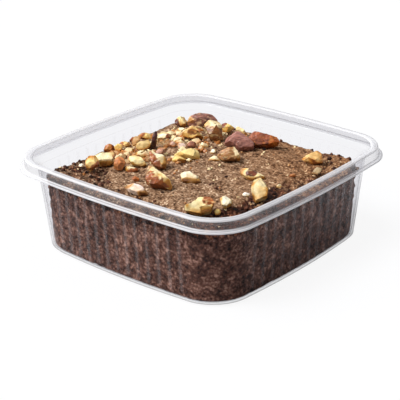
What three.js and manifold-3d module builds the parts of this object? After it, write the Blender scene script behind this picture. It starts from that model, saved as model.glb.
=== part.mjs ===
import * as THREE from 'three';
import Module from 'manifold-3d';
import { mergeVertices } from 'three/addons/utils/BufferGeometryUtils.js';

// Chocolate brownie baked into a square clear tub, scattered with chopped walnuts.
// Millimetres, +Z up, origin under the middle of the tub's base.
// The near corner of the picture is +X -Y, the left one -X -Y, the right one +X +Y.

// Tub, half widths measured at the corners' end of each side
const TUB_HEIGHT = 40;
const SHEET = 0.7;
const SIDE_BOW = 1.36;
const LIP_HALF = 57;
const LIP_RADIUS = 17.6;
const LIP_TOP_WIDTH = 2.4;
const FLANGE_OUT = 1.6;
const FLANGE_Z = 35;
const LEDGE_Z = 37.6;
const WALL_TOP_HALF = 52.7;
const WALL_TOP_RADIUS = 15.7;
const BASE_HALF = 50.5;
const BASE_RADIUS = 17.9;
const BASE_THICKNESS = 0.8;
const CORNER_STEPS = 7;
const SIDE_STEPS = 4;

// Upright ribs pressed into the four walls
// The walls that face X have one rib fewer than the walls that face Y
const RIB_ROWS = [{ count: 12, pitch: 5.75 }, { count: 13, pitch: 5.35 }];
const RIB_WIDTH = 1.9;
const RIB_CREST = 0.8;
const RIB_DEPTH = 0.45;
const RIB_LOW = 3.5;
const RIB_HIGH = 32.5;

// Brownie
const CLEARANCE = 0.4;
const CRUST_Z = 32.2;
const BACK_SLUMP = 2.6;
const FRONT_SLUMP = 0.6;
const CORNER_LIFT = 3.2;
const CORNER_PULL = 2.2;
const CRUMB_ROUGHNESS = 0.5;
const BROWNIE_SIDE_STEPS = 11;
const GAP = 0.3;
const NUT_SINK = 0.9;

// Nuts shorter than this are baked into the crust
const FUSED_BELOW = 4.9;

// Walnut pieces. Each is a slab with a rounded outline that faces the near corner:
// at is its place on the crust, size is length x height x thickness in millimetres,
// lean is its slope from lying flat in degrees, and edge is its outline in half sizes.
const WALNUTS = [
  { name: 'walnut_01', at: [-42, 34], size: [5.4, 4.8, 4], lean: 60,
    edge: [[-0.95, 0.3], [-0.35, 0.95], [0.7, 0.95], [1, 0], [0.9, -0.95], [0, -1], [-0.9, -0.4]] },
  { name: 'walnut_02', at: [-32, 38], size: [14, 7, 8], lean: 40,
    edge: [[-1, -0.4], [-0.9, 0.3], [-0.5, 0.8], [0, 1], [0.5, 0.8], [0.9, 0.1], [1, -0.5],
      [0.3, -1], [-0.6, -1]] },
  { name: 'walnut_03', at: [-16, 26.5], size: [8.7, 9.4, 5.5], lean: 48,
    edge: [[-1, 0.5], [-0.7, 0.8], [-0.1, 1], [0.55, 0.9], [0.85, 0.4], [0.8, -0.3], [0.95, -1],
      [-0.4, -0.9], [-0.55, -0.4]] },
  { name: 'walnut_04', at: [-24, 21.5], size: [9.5, 6.3, 4.5], lean: 60,
    edge: [[-1, -0.1], [-0.45, 0.6], [0, 1], [0.4, 0.8], [0.65, 0], [1, -0.7], [0.7, -1],
      [-0.3, -0.7], [-0.9, -0.5]] },
  { name: 'walnut_05', at: [-35.5, 27.5], size: [3.8, 2.2, 2.5], lean: 45,
    edge: [[-1, 0.6], [0.2, 1], [1, 0.2], [0.4, -1], [-0.7, -0.7]] },
  { name: 'walnut_06', at: [-30, 3], size: [3.4, 8.4, 3], lean: 72,
    edge: [[-0.4, 0.4], [-0.1, 0.8], [0.4, 1], [1, 0.8], [0.8, 0.1], [0.6, -0.5], [0, -1], [-0.9, -0.8]] },
  { name: 'walnut_07', at: [-34.5, 14.5], size: [6.2, 3.4, 3.5], lean: 45,
    edge: [[-0.9, 0.6], [-0.5, 1], [0.5, 1], [1, 0.3], [0.8, -0.5], [-0.2, -1], [-1, -0.4]] },
  { name: 'walnut_08', at: [-45, 13], size: [7.1, 3.3, 3], lean: 50,
    edge: [[-1, 0.2], [-0.5, 0.8], [0.1, 1], [0.9, 0.8], [1, -0.8], [0.5, -0.9], [-0.4, -0.5]] },
  { name: 'walnut_09', at: [-33, -0.5], size: [7.1, 4.8, 4], lean: 55,
    edge: [[-0.9, -0.7], [-0.9, 0.1], [-0.4, 0.6], [0.2, 0.7], [0.6, 1], [0.95, 0.2], [0.8, -0.6],
      [0.2, -1], [-0.5, -1]] },
  { name: 'walnut_10', at: [-39.5, 2], size: [4.1, 5.8, 2.5], lean: 65,
    edge: [[-1, 0], [-0.3, 0.95], [1, 0.8], [0.8, 0.3], [0.1, -0.1], [-0.1, -0.8], [-0.5, -1]] },
  { name: 'walnut_11', at: [-45, 0], size: [5.4, 2.8, 3], lean: 50,
    edge: [[-1, -0.3], [-0.5, 0.7], [0.3, 1], [1, 0.2], [0.6, -0.9], [-0.5, -1]] },
  { name: 'walnut_12', at: [-47, 8], size: [3.8, 2.4, 3], lean: 50,
    edge: [[-1, 0], [-0.2, 1], [0.8, 0.7], [1, -0.4], [0, -1]] },
  { name: 'walnut_13', at: [-46.5, -8], size: [4.8, 3.6, 3.5], lean: 55,
    edge: [[-1, -0.6], [-0.6, 0.6], [0.2, 1], [1, 0.5], [0.9, -0.6], [0, -1]] },
  { name: 'walnut_14', at: [-42.5, -6.5], size: [4, 3.8, 3], lean: 55,
    edge: [[-0.9, 0.3], [-0.1, 1], [1, 0.5], [0.7, -0.7], [-0.4, -1]] },
  { name: 'walnut_15', at: [-33, -25], size: [10, 6, 5], lean: 48,
    edge: [[-1, 0], [-0.9, 0.5], [-0.3, 0.8], [0.85, 1], [1, 0.4], [0.8, -0.5], [0.4, -0.9],
      [-0.1, -1], [-0.7, -0.4]] },
  { name: 'walnut_16', at: [-31.5, -33], size: [5.9, 7, 4], lean: 50,
    edge: [[-1, 0.3], [-0.5, 0.9], [0.4, 1], [0.9, 0.4], [1, -0.2], [0.3, -0.5], [-0.2, -1],
      [-0.8, -0.6]] },
  { name: 'walnut_17', at: [-40.5, -30.5], size: [2.6, 1.9, 2.5], lean: 45,
    edge: [[-1, 0], [0, 1], [1, 0.2], [0.5, -1], [-0.6, -0.9]] },
  { name: 'walnut_18', at: [-24, -24.5], size: [5.4, 5.9, 4], lean: 60,
    edge: [[-1, -0.5], [-0.8, 0.6], [-0.2, 1], [0.5, 0.8], [1, 0.1], [0.6, -0.4], [0.3, -1], [-0.4, -1]] },
  { name: 'walnut_19', at: [-19.5, -22.5], size: [5.8, 2.7, 2.5], lean: 50,
    edge: [[-1, 0.2], [-0.6, 1], [0.2, 0.6], [1, 0], [0.9, -1], [-0.6, -1]] },
  { name: 'walnut_20', at: [-21, -17], size: [7.6, 4.6, 4], lean: 50,
    edge: [[-1, 0.2], [-0.9, 0.9], [-0.3, 1], [0.4, 0.6], [0.7, 0], [1, -0.7], [0.5, -1],
      [-0.6, -0.7]] },
  { name: 'walnut_21', at: [-26, -10], size: [5.6, 3.9, 2.5], lean: 45,
    edge: [[-1, 0.8], [-0.2, 1], [0.3, 0.3], [0.9, -0.2], [1, -0.9], [0.3, -0.8], [-0.5, 0]] },
  { name: 'walnut_22', at: [-36.5, -5.5], size: [5.2, 2.6, 2.5], lean: 45,
    edge: [[-1, -0.2], [-0.4, 0.9], [0.6, 1], [1, 0], [0.4, -1], [-0.6, -0.9]] },
  { name: 'walnut_23', at: [-13, -13], size: [7.5, 8.4, 4.5], lean: 46,
    edge: [[-1, 0.7], [-0.7, 1], [-0.2, 0.6], [0.5, 0.5], [1, 0], [0.8, -0.9], [0, -0.9],
      [-0.6, -0.5], [-0.95, 0]] },
  { name: 'walnut_24', at: [1.5, -28.5], size: [10.8, 12.4, 5], lean: 38,
    edge: [[-1, 0.9], [-0.6, 1], [-0.3, 0.6], [0.3, 0.1], [0.8, -0.4], [1, -0.8], [0.8, -1],
      [0, -0.8], [-0.6, -0.7], [-1, -0.4]] },
  { name: 'walnut_25', at: [-10.5, -29.5], size: [3.4, 2.6, 2], lean: 40,
    edge: [[-1, 0.4], [-0.2, 1], [1, 0], [0.6, -0.9], [-0.4, -0.7]] },
  { name: 'walnut_26', at: [-1.5, -38.5], size: [9.9, 5.7, 3.5], lean: 30,
    edge: [[-1, 0.5], [-0.8, 0.9], [-0.4, 0.9], [0.3, 0.3], [0.7, -0.2], [1, -0.7], [0.2, -1],
      [-0.4, -0.4]] },
  { name: 'walnut_27', at: [7, -15.5], size: [8.8, 5.6, 3.5], lean: 32,
    edge: [[-1, 0.5], [-0.3, 1], [0.2, 0.2], [0.7, -0.3], [1, -1], [0.2, -1], [-0.8, -0.9]] },
  { name: 'walnut_28', at: [-11, 2.5], size: [12.1, 5.1, 3.5], lean: 38,
    edge: [[-1, 0.2], [-0.4, 0.3], [0.1, 0.6], [0.75, 1], [0.9, 0.1], [1, -1], [0.5, -0.7],
      [0, -0.5], [-0.6, -0.3]] },
  { name: 'walnut_29', at: [-10, -3.5], size: [6.1, 2.8, 3], lean: 38,
    edge: [[-1, 0], [-0.6, 0.9], [0.2, 1], [1, 0.2], [1, -0.4], [0.1, -1], [-0.6, -0.8]] },
  { name: 'walnut_30', at: [-8, 0.5], size: [3.2, 1.6, 2], lean: 40,
    edge: [[-1, 0], [0, 1], [1, 0.2], [0.3, -1]] },
  { name: 'walnut_31', at: [-27, 15.5], size: [5.1, 2.4, 2.5], lean: 40,
    edge: [[-1, -0.9], [-0.7, 0.3], [0, 1], [0.7, 0.5], [1, -0.7], [0, -0.8]] },
  { name: 'walnut_32', at: [-24, 8.5], size: [3.6, 2.8, 3], lean: 50,
    edge: [[-1, 0.2], [0, 1], [1, 0.1], [0.5, -1], [-0.7, -0.8]] },
  { name: 'walnut_33', at: [-19.5, 9.5], size: [4, 3, 3], lean: 50,
    edge: [[-0.9, 0.8], [0.3, 1], [1, 0], [0.9, -0.8], [-0.3, -1], [-1, -0.2]] },
  { name: 'walnut_34', at: [-22.5, -1], size: [4.7, 3, 3.5], lean: 50,
    edge: [[-1, 0], [-0.5, 0.8], [0.4, 1], [1, 0], [0.5, -0.9], [-0.5, -1]] },
  { name: 'walnut_35', at: [-18, 14], size: [4, 3.2, 3], lean: 50,
    edge: [[-1, 0.3], [-0.2, 1], [0.9, 0.6], [1, -0.6], [0, -1], [-0.8, -0.6]] },
  { name: 'walnut_36', at: [-14, 17.5], size: [4.6, 2.6, 2.5], lean: 45,
    edge: [[-1, 0], [-0.4, 1], [0.2, 0.4], [1, 0.7], [0.8, -1], [-0.5, -1]] },
  { name: 'walnut_37', at: [-6, 14], size: [2.8, 2.3, 2.5], lean: 50,
    edge: [[-1, -0.2], [-0.2, 1], [0.9, 0.8], [0.8, -0.8], [-0.3, -1]] },
  { name: 'walnut_38', at: [0, 8], size: [6.1, 2.3, 2.5], lean: 35,
    edge: [[-1, -0.8], [-0.7, 0.3], [-0.2, 1], [0.3, 0.5], [1, -0.2], [0.8, -1]] },
  { name: 'walnut_39', at: [5, 11], size: [10, 5.6, 5], lean: 48,
    edge: [[-1, -0.2], [-0.7, 0.5], [-0.2, 0.9], [0.5, 1], [0.8, 0.2], [1, -0.8], [0.5, -1],
      [-0.4, -1], [-0.8, -0.6]] },
  { name: 'walnut_40', at: [-19, 40], size: [6.2, 5.5, 4], lean: 58,
    edge: [[-0.9, 0.9], [-0.3, 1], [0.4, 0.5], [1, 0.1], [0.4, -0.3], [-0.6, -1], [-0.9, 0]] },
  { name: 'walnut_41', at: [-1, 25.5], size: [13.1, 9.4, 6], lean: 32,
    edge: [[-0.9, 0.4], [-0.5, 0.8], [-0.2, 1], [0.2, 0.7], [0.7, 0], [1, -0.5], [0.9, -0.9],
      [0, -0.9], [-0.5, -0.4], [-1, -0.2]] },
  { name: 'walnut_42', at: [5, 34.5], size: [14.4, 7.6, 6], lean: 36,
    edge: [[-1, 0.4], [-0.6, 1], [-0.2, 0.9], [0.3, 0.6], [0.8, 0.3], [1, -0.4], [0.7, -0.7],
      [0.2, -0.9], [-0.4, -1], [-0.8, -0.4]] },
  { name: 'walnut_43', at: [-13.5, 42.5], size: [5.4, 4.8, 3], lean: 55,
    edge: [[-0.9, 0.9], [-0.4, 1], [0.4, 0.5], [1, -0.4], [0.7, -1], [-0.1, -0.5], [-0.8, 0.2]] },
  { name: 'walnut_44', at: [34, 30], size: [9.2, 6, 4], lean: 45,
    edge: [[-0.95, 0.1], [-0.3, 0.4], [0.1, 0.7], [0.5, 1], [0.9, 0.5], [1, -0.9], [0.1, -1],
      [-0.3, -0.6], [-0.7, -0.4]] },
  { name: 'walnut_45', at: [25.5, 2], size: [11.5, 5.9, 3], lean: 38,
    edge: [[-1, 0.6], [-0.8, 1], [-0.1, 0.5], [0.5, 0], [1, -0.7], [0.4, -0.7], [-0.1, -0.9],
      [-0.6, -0.5], [-0.9, 0]] },
  { name: 'walnut_46', at: [40, -13], size: [6.8, 11, 5], lean: 40,
    edge: [[-0.6, 1], [0.2, 1], [0.8, 0.7], [1, 0.3], [0.8, -0.6], [0.1, -0.8], [-0.5, -1],
      [-0.8, -0.5], [-1, 0.2], [-0.9, 0.6]] },
  { name: 'walnut_47', at: [35, -27.5], size: [5.1, 5.1, 4], lean: 55,
    edge: [[-1, 0.6], [-0.2, 1], [0.9, 0.3], [1, -0.2], [0.6, -0.6], [-0.2, -1], [-0.7, -0.5]] },
  { name: 'walnut_48', at: [41.5, 23], size: [4.7, 3.9, 2.5], lean: 35,
    edge: [[-1, -0.8], [-0.4, 0.4], [0.4, 1], [1, 0.8], [0.7, -0.2], [0, -1]] },
  { name: 'walnut_49', at: [31, -38.5], size: [11.3, 6.9, 6], lean: 50,
    edge: [[-1, 0], [-0.6, 0.1], [-0.3, 0.5], [0, 1], [0.4, 1], [0.8, 0.8], [1, 0.2], [0.7, -0.8],
      [0.1, -1], [-0.6, -0.7], [-1, -0.5]] },
  { name: 'walnut_50', at: [36.5, -34.5], size: [2.6, 2.6, 2.5], lean: 50,
    edge: [[-1, 0.4], [0, 1], [1, 0.3], [0.5, -1], [-0.7, -0.8]] },
  { name: 'walnut_51', at: [33.5, -13.5], size: [3.3, 1.8, 2], lean: 45,
    edge: [[-1, 0], [-0.3, 1], [1, 0.4], [0.6, -1], [-0.6, -0.8]] },
  { name: 'walnut_52', at: [38.5, 1.5], size: [2.2, 2, 2], lean: 45,
    edge: [[-1, 0.3], [0.2, 1], [1, 0], [0.2, -1], [-0.8, -0.6]] },
  { name: 'walnut_53', at: [36, 14], size: [3.2, 1.6, 2], lean: 45,
    edge: [[-1, -0.4], [-0.2, 1], [1, 0.5], [0.7, -1], [-0.5, -1]] },
];

// Nut crumbs baked into the crust: place and width
const NUT_CRUMBS = [
  [-47.5, -13, 2.2], [-31, -13, 2.4], [-16, 18, 2.2], [-28, 11, 2.2], [14, 40, 2.4],
  [36.5, -16.5, 2.4], [-7.5, -8, 2.2], [9, 18.5, 2.2], [-22.5, 27.5, 2.4], [-41, 22, 2.2],
  [-30, -4.5, 2.2], [-38, -12, 2.4],
];

// Azimuth of the near corner as the slabs see it
const FACING = THREE.MathUtils.degToRad(40);

const wasm = await Module();
wasm.setup();

function seededRandom(seed) {
  let state = seed >>> 0;
  return function next() {
    state = (state + 0x6d2b79f5) >>> 0;
    let word = Math.imul(state ^ (state >>> 15), 1 | state);
    word = (word + Math.imul(word ^ (word >>> 7), 61 | word)) ^ word;
    return ((word ^ (word >>> 14)) >>> 0) / 4294967296;
  };
}

// Soft bumps between -1 and 1
function lumps(x, y, z, phase) {
  const first = Math.sin(x * 1.31 + phase) * Math.cos(y * 1.17 - phase * 1.7);
  const second = Math.sin(y * 1.93 + z * 1.41 + phase * 2.3) * Math.cos(x * 0.83 - z * 1.07);
  const third = Math.sin((x + y) * 2.27 - z * 0.61 + phase * 0.9);
  return first * 0.45 + second * 0.35 + third * 0.2;
}

function smooth(low, high, value) {
  return THREE.MathUtils.smoothstep(value, low, high);
}

// Square outline with rounded corners and sides that bow outwards
function squareOutline(half, radius, sideSteps) {
  const flat = half - radius;
  const points = [];
  for (let side = 0; side < 4; side += 1) {
    const turn = side * Math.PI / 2;
    const local = [];
    for (let step = 0; step < sideSteps; step += 1) {
      const along = -flat + 2 * flat * step / sideSteps;
      const bow = SIDE_BOW * (1 - (along / flat) ** 2);
      local.push([half + bow, along]);
    }
    for (let step = 0; step < CORNER_STEPS; step += 1) {
      const angle = step / CORNER_STEPS * Math.PI / 2;
      local.push([flat + radius * Math.cos(angle), flat + radius * Math.sin(angle)]);
    }
    for (const [x, y] of local) {
      points.push([
        x * Math.cos(turn) - y * Math.sin(turn),
        x * Math.sin(turn) + y * Math.cos(turn),
      ]);
    }
  }
  return points;
}

// Closed skin over rings of points, from a fan at the first ring to one at the last
function skin(rings, firstPole, lastPole) {
  const count = rings[0].length;
  const vertices = [firstPole, ...rings.flat(), lastPole];
  const index = [];
  const last = vertices.length - 1;
  for (let i = 0; i < count; i += 1) {
    const next = (i + 1) % count;
    index.push(0, 1 + next, 1 + i);
    const top = 1 + (rings.length - 1) * count;
    index.push(last, top + i, top + next);
  }
  for (let ring = 0; ring < rings.length - 1; ring += 1) {
    const low = 1 + ring * count;
    const high = low + count;
    for (let i = 0; i < count; i += 1) {
      const next = (i + 1) % count;
      index.push(low + i, low + next, high + next);
      index.push(low + i, high + next, high + i);
    }
  }
  const geometry = new THREE.BufferGeometry();
  geometry.setAttribute('position', new THREE.Float32BufferAttribute(vertices.flat(), 3));
  geometry.setIndex(index);
  return geometry;
}

function toSolid(geometry) {
  let merged = geometry.clone();
  merged.deleteAttribute('normal');
  merged.deleteAttribute('uv');
  merged = mergeVertices(merged, 1e-4);
  const mesh = new wasm.Mesh({
    numProp: 3,
    vertProperties: Float32Array.from(merged.attributes.position.array),
    triVerts: Uint32Array.from(merged.index.array),
  });
  return new wasm.Manifold(mesh);
}

function toGeometry(solid) {
  const mesh = solid.getMesh();
  const geometry = new THREE.BufferGeometry();
  const positions = Float32Array.from(mesh.vertProperties);
  geometry.setAttribute('position', new THREE.BufferAttribute(positions, 3));
  geometry.setIndex(new THREE.BufferAttribute(Uint32Array.from(mesh.triVerts), 1));
  geometry.computeVertexNormals();
  return geometry;
}

function largestBody(solid) {
  const bodies = solid.decompose();
  bodies.sort((a, b) => b.volume() - a.volume());
  return bodies[0];
}

function wallHalf(z) {
  return BASE_HALF + (WALL_TOP_HALF - BASE_HALF) * z / FLANGE_Z;
}

function wallRadius(z) {
  return BASE_RADIUS + (WALL_TOP_RADIUS - BASE_RADIUS) * z / FLANGE_Z;
}

// Underside and outside of the sheet from the base up, over the lip, then down the inside
function tubShell() {
  const lipInner = LIP_HALF - LIP_TOP_WIDTH;
  const lipInnerRadius = LIP_RADIUS - LIP_TOP_WIDTH * 0.5;
  const flangeHalf = LIP_HALF + FLANGE_OUT;
  const flangeRadius = LIP_RADIUS + FLANGE_OUT * 0.6;
  const wall = (z, inset) => [z, wallHalf(z) - inset, wallRadius(z) - inset * 0.6];
  const profile = [
    [0, BASE_HALF - 2.1, BASE_RADIUS - 1.6],
    [0.4, BASE_HALF - 0.8, BASE_RADIUS - 0.6],
    [1.4, wallHalf(1.4), wallRadius(1.4)],
    wall(18, 0),
    wall(LEDGE_Z - 1.0, 0),
    [LEDGE_Z - SHEET, lipInner - 0.6, lipInnerRadius],
    [LEDGE_Z + 0.1, lipInner, lipInnerRadius],
    [TUB_HEIGHT - SHEET, lipInner + 0.5, lipInnerRadius + 0.3],
    [TUB_HEIGHT - SHEET, LIP_HALF - SHEET - 0.1, LIP_RADIUS - 0.5],
    [FLANGE_Z + 0.6, LIP_HALF - SHEET + 0.1, LIP_RADIUS - 0.4],
    [FLANGE_Z, LIP_HALF - 0.2, LIP_RADIUS - 0.1],
    [FLANGE_Z, flangeHalf, flangeRadius],
    [FLANGE_Z + SHEET, flangeHalf, flangeRadius],
    [FLANGE_Z + SHEET + 0.2, LIP_HALF + 0.1, LIP_RADIUS],
    [TUB_HEIGHT - 0.5, LIP_HALF - 0.1, LIP_RADIUS - 0.1],
    [TUB_HEIGHT, LIP_HALF - 0.6, LIP_RADIUS - 0.4],
    [TUB_HEIGHT, lipInner, lipInnerRadius],
    [TUB_HEIGHT - 0.5, lipInner - 0.4, lipInnerRadius - 0.3],
    [LEDGE_Z + 0.3, lipInner - 0.8, lipInnerRadius - 0.5],
    [LEDGE_Z, lipInner - 1.2, lipInnerRadius - 0.7],
    wall(LEDGE_Z - 0.2, SHEET - 0.3),
    wall(LEDGE_Z - 1.2, SHEET),
    wall(18, SHEET),
    wall(2.2, SHEET),
    [1.1, wallHalf(1.4) - SHEET - 0.7, wallRadius(1.4) - 0.9],
    [BASE_THICKNESS, BASE_HALF - 2.6, BASE_RADIUS - 1.9],
  ];
  const rings = profile.map(([z, half, radius]) => {
    return squareOutline(half, radius, SIDE_STEPS).map(([x, y]) => [x, y, z]);
  });
  return toSolid(skin(rings, [0, 0, 0], [0, 0, BASE_THICKNESS]));
}

// Rib with sloping flanks and ends, its root sunk halfway into the sheet
function rib(side, along) {
  const turn = side * Math.PI / 2;
  const flat = BASE_HALF - BASE_RADIUS;
  const bow = SIDE_BOW * (1 - (along / (flat + 3)) ** 2);
  const place = (offset, z, depth) => {
    const x = wallHalf(z) + bow + depth;
    const y = along + offset;
    return [
      x * Math.cos(turn) - y * Math.sin(turn),
      x * Math.sin(turn) + y * Math.cos(turn),
      z,
    ];
  };
  const root = [
    place(-RIB_WIDTH / 2, RIB_LOW, -SHEET / 2),
    place(RIB_WIDTH / 2, RIB_LOW, -SHEET / 2),
    place(RIB_WIDTH / 2, RIB_HIGH, -SHEET / 2),
    place(-RIB_WIDTH / 2, RIB_HIGH, -SHEET / 2),
  ];
  const crest = [
    place(-RIB_CREST / 2, RIB_LOW + 1, RIB_DEPTH),
    place(RIB_CREST / 2, RIB_LOW + 1, RIB_DEPTH),
    place(RIB_CREST / 2, RIB_HIGH - 1, RIB_DEPTH),
    place(-RIB_CREST / 2, RIB_HIGH - 1, RIB_DEPTH),
  ];
  const geometry = new THREE.BufferGeometry();
  const flatPositions = [...root, ...crest].flat();
  geometry.setAttribute('position', new THREE.Float32BufferAttribute(flatPositions, 3));
  geometry.setIndex([
    0, 2, 1, 0, 3, 2,
    4, 5, 6, 4, 6, 7,
    0, 1, 5, 0, 5, 4,
    1, 2, 6, 1, 6, 5,
    2, 3, 7, 2, 7, 6,
    3, 0, 4, 3, 4, 7,
  ]);
  return toSolid(geometry);
}

function makeTub() {
  let tub = tubShell();
  for (let side = 0; side < 4; side += 1) {
    const { count, pitch } = RIB_ROWS[side % 2];
    for (let number = 0; number < count; number += 1) {
      const along = (number - (count - 1) / 2) * pitch;
      tub = tub.add(rib(side, along));
    }
  }
  return tub;
}

// Height of the crust: low along the two back sides, raised in the left and right corners
function crustHeight(x, y) {
  const reach = BASE_HALF + 1;
  const back = smooth(0.5, 1, Math.max(-x, y) / reach);
  const front = smooth(0.6, 1, Math.max(x, -y) / reach);
  const corner = smooth(0.45, 0.95, Math.min(Math.abs(x), Math.abs(y)) / reach);
  const sideCorner = x * y > 0 ? corner : corner * 0.15;
  const relief = 0.4 * lumps(x / 6, y / 6, 0, 1.3) + 0.25 * lumps(x / 2.3, y / 2.3, 0, 4.1);
  return CRUST_Z - BACK_SLUMP * back - FRONT_SLUMP * front + CORNER_LIFT * sideCorner + relief;
}

// Outline of the crumb at one height, held clear of the wall and pulled in at two corners
function crumbRing(z, inset) {
  const half = wallHalf(z) - SHEET - CLEARANCE;
  const outline = squareOutline(half, wallRadius(z) - SHEET, BROWNIE_SIDE_STEPS);
  return outline.map(([x, y]) => {
    const reach = Math.hypot(x, y);
    const corner = smooth(0.62, 0.8, Math.min(Math.abs(x), Math.abs(y)) / half);
    const pull = x * y > 0 ? CORNER_PULL * corner * (0.8 + 0.3 * lumps(x, y, z / 3, 2.2)) : 0;
    const rough = CRUMB_ROUGHNESS * (0.5 + 0.5 * lumps(x / 1.7, y / 1.7, z / 2.1, 0.7));
    const factor = (reach - inset - pull - rough) / reach;
    return [x * factor, y * factor];
  });
}

function brownieBody() {
  const bottom = BASE_THICKNESS + CLEARANCE;
  const sides = [[bottom, 2.6], [bottom + 1.3, 0.4], [7, 0], [13, 0], [19, 0], [25, 0]];
  const rings = sides.map(([z, inset]) => crumbRing(z, inset).map(([x, y]) => [x, y, z]));
  const shoulders = [[-2.8, 0], [-1.5, 0.7], [-0.6, 2.0], [0, 4.0]];
  for (const [drop, inset] of shoulders) {
    rings.push(crumbRing(29, inset).map(([x, y]) => [x, y, crustHeight(x, y) + drop]));
  }
  const rim = crumbRing(29, 4.0);
  for (const share of [0.9, 0.79, 0.67, 0.54, 0.41, 0.27, 0.14]) {
    rings.push(rim.map(([x, y]) => {
      return [x * share, y * share, crustHeight(x * share, y * share)];
    }));
  }
  const middle = [0, 0, crustHeight(0, 0)];
  return toSolid(skin(rings, [0, 0, bottom], middle));
}

// Slab lofted from its outline: full in the middle, drawn in and tilted at its two faces
function nutSlab(nut, seed, grow) {
  const random = seededRandom(seed * 7919 + 17);
  const [length, height, thickness] = nut.size.map((value) => value / 2 + grow);
  const layers = [[-1, 0.66], [-0.55, 0.93], [0.1, 1], [0.7, 0.86], [1, 0.6]];
  const rings = layers.map(([depth, share]) => {
    const slideX = (random() - 0.5) * 0.14;
    const slideY = (random() - 0.5) * 0.14;
    return nut.edge.map(([x, y]) => [
      (x * share + slideX) * length,
      (y * share + slideY) * height,
      (depth + (random() - 0.5) * 0.16) * thickness,
    ]);
  });
  rings.forEach((ring) => ring.reverse());
  const count = nut.edge.length;
  const vertices = rings.flat();
  const index = [];
  for (let ring = 0; ring < rings.length - 1; ring += 1) {
    const low = ring * count;
    const high = low + count;
    for (let i = 0; i < count; i += 1) {
      const next = (i + 1) % count;
      index.push(low + i, low + next, high + next);
      index.push(low + i, high + next, high + i);
    }
  }
  const outline = rings[0].map(([x, y]) => new THREE.Vector2(x, y));
  const lastRing = (rings.length - 1) * count;
  for (const [a, b, c] of THREE.ShapeUtils.triangulateShape(outline, [])) {
    index.push(a, c, b);
    index.push(lastRing + a, lastRing + b, lastRing + c);
  }
  const geometry = new THREE.BufferGeometry();
  geometry.setAttribute('position', new THREE.Float32BufferAttribute(vertices.flat(), 3));
  geometry.setIndex(index);
  return geometry;
}

// Height of a slab's middle, its lowest edge sunk a little into the crust
function nutMiddle(nut) {
  const lean = THREE.MathUtils.degToRad(nut.lean);
  const [, height, thickness] = nut.size;
  const rise = height / 2 * Math.sin(lean) + thickness / 2 * Math.cos(lean);
  return crustHeight(...nut.at) + rise - NUT_SINK;
}

function placedNut(nut, seed, grow) {
  const shape = nutSlab(nut, seed, grow);
  shape.rotateX(THREE.MathUtils.degToRad(nut.lean));
  shape.rotateZ(FACING);
  shape.translate(nut.at[0], nut.at[1], nutMiddle(nut));
  return toSolid(shape);
}

// Block under a nut, its top face just over the crust below the nut
function restingBlock(nut) {
  const [x, y] = nut.at;
  const reach = Math.max(nut.size[0], nut.size[1]) * 0.5;
  const middle = crustHeight(x, y);
  const slopeX = (crustHeight(x + reach, y) - crustHeight(x - reach, y)) / (2 * reach);
  const slopeY = (crustHeight(x, y + reach) - crustHeight(x, y - reach)) / (2 * reach);
  let rise = 0;
  for (let angle = 0; angle < 6.2; angle += 0.39) {
    for (const share of [0.3, 0.65, 1]) {
      const dx = Math.cos(angle) * reach * share;
      const dy = Math.sin(angle) * reach * share;
      const plane = middle + slopeX * dx + slopeY * dy;
      rise = Math.max(rise, crustHeight(x + dx, y + dy) - plane);
    }
  }
  const normal = new THREE.Vector3(-slopeX, -slopeY, 1).normalize();
  const block = new THREE.BoxGeometry(60, 60, 20);
  block.translate(0, 0, -10);
  const turn = new THREE.Quaternion().setFromUnitVectors(new THREE.Vector3(0, 0, 1), normal);
  block.applyQuaternion(turn);
  block.translate(x, y, middle + rise + GAP);
  return toSolid(block);
}

function isFused(nut) {
  return Math.max(nut.size[0], nut.size[1]) < FUSED_BELOW;
}

// Each nut lies on the crust, clear of it and of the nuts placed before it
function makeWalnuts() {
  const placed = [];
  WALNUTS.forEach((nut, seed) => {
    if (isFused(nut)) {
      return;
    }
    let body = placedNut(nut, seed, 0).subtract(restingBlock(nut));
    for (const other of placed) {
      const apart = Math.hypot(nut.at[0] - other.at[0], nut.at[1] - other.at[1]);
      if (apart < (nut.size[0] + other.size[0]) * 0.75) {
        body = body.subtract(other.grown);
      }
    }
    body = largestBody(body);
    placed.push({ ...nut, body, grown: placedNut(nut, seed, GAP + 0.05) });
  });
  return placed;
}

// Crumb block with the small nuts and nut crumbs baked in, clear of the loose pieces
function makeBrownie(walnuts) {
  let bits = brownieBody();
  WALNUTS.forEach((nut, seed) => {
    if (isFused(nut)) {
      bits = bits.add(placedNut(nut, seed, 0));
    }
  });
  NUT_CRUMBS.forEach(([x, y, width], number) => {
    const crumb = new THREE.IcosahedronGeometry(width * 0.55, 0);
    crumb.scale(1, 0.8, 0.7);
    crumb.rotateZ(number * 1.9);
    crumb.translate(x, y, crustHeight(x, y) + width * 0.12);
    bits = bits.add(toSolid(crumb));
  });
  for (const nut of walnuts) {
    if (bits.intersect(nut.body).volume() > 0) {
      bits = bits.subtract(nut.grown.subtract(restingBlock(nut)));
    }
  }
  return largestBody(bits);
}

const walnuts = makeWalnuts();
const brownieSolid = makeBrownie(walnuts);

const CLEAR = { color: 0xeef0f2, roughness: 0.08, metalness: 0, transparent: true, opacity: 0.35 };
const CRUMB = { color: 0x4a332c, roughness: 0.9, metalness: 0 };
const NUT_LOOK = { color: 0xd9ab62, roughness: 0.6, metalness: 0 };

const group = new THREE.Group();
group.name = 'walnut_brownie_in_tub';

function addPart(name, solid, look) {
  const mesh = new THREE.Mesh(toGeometry(solid), new THREE.MeshStandardMaterial(look));
  mesh.name = name;
  group.add(mesh);
}

addPart('tub', makeTub(), CLEAR);
addPart('brownie', brownieSolid, CRUMB);
for (const nut of walnuts) {
  addPart(nut.name, nut.body, NUT_LOOK);
}

export default group;
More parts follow.
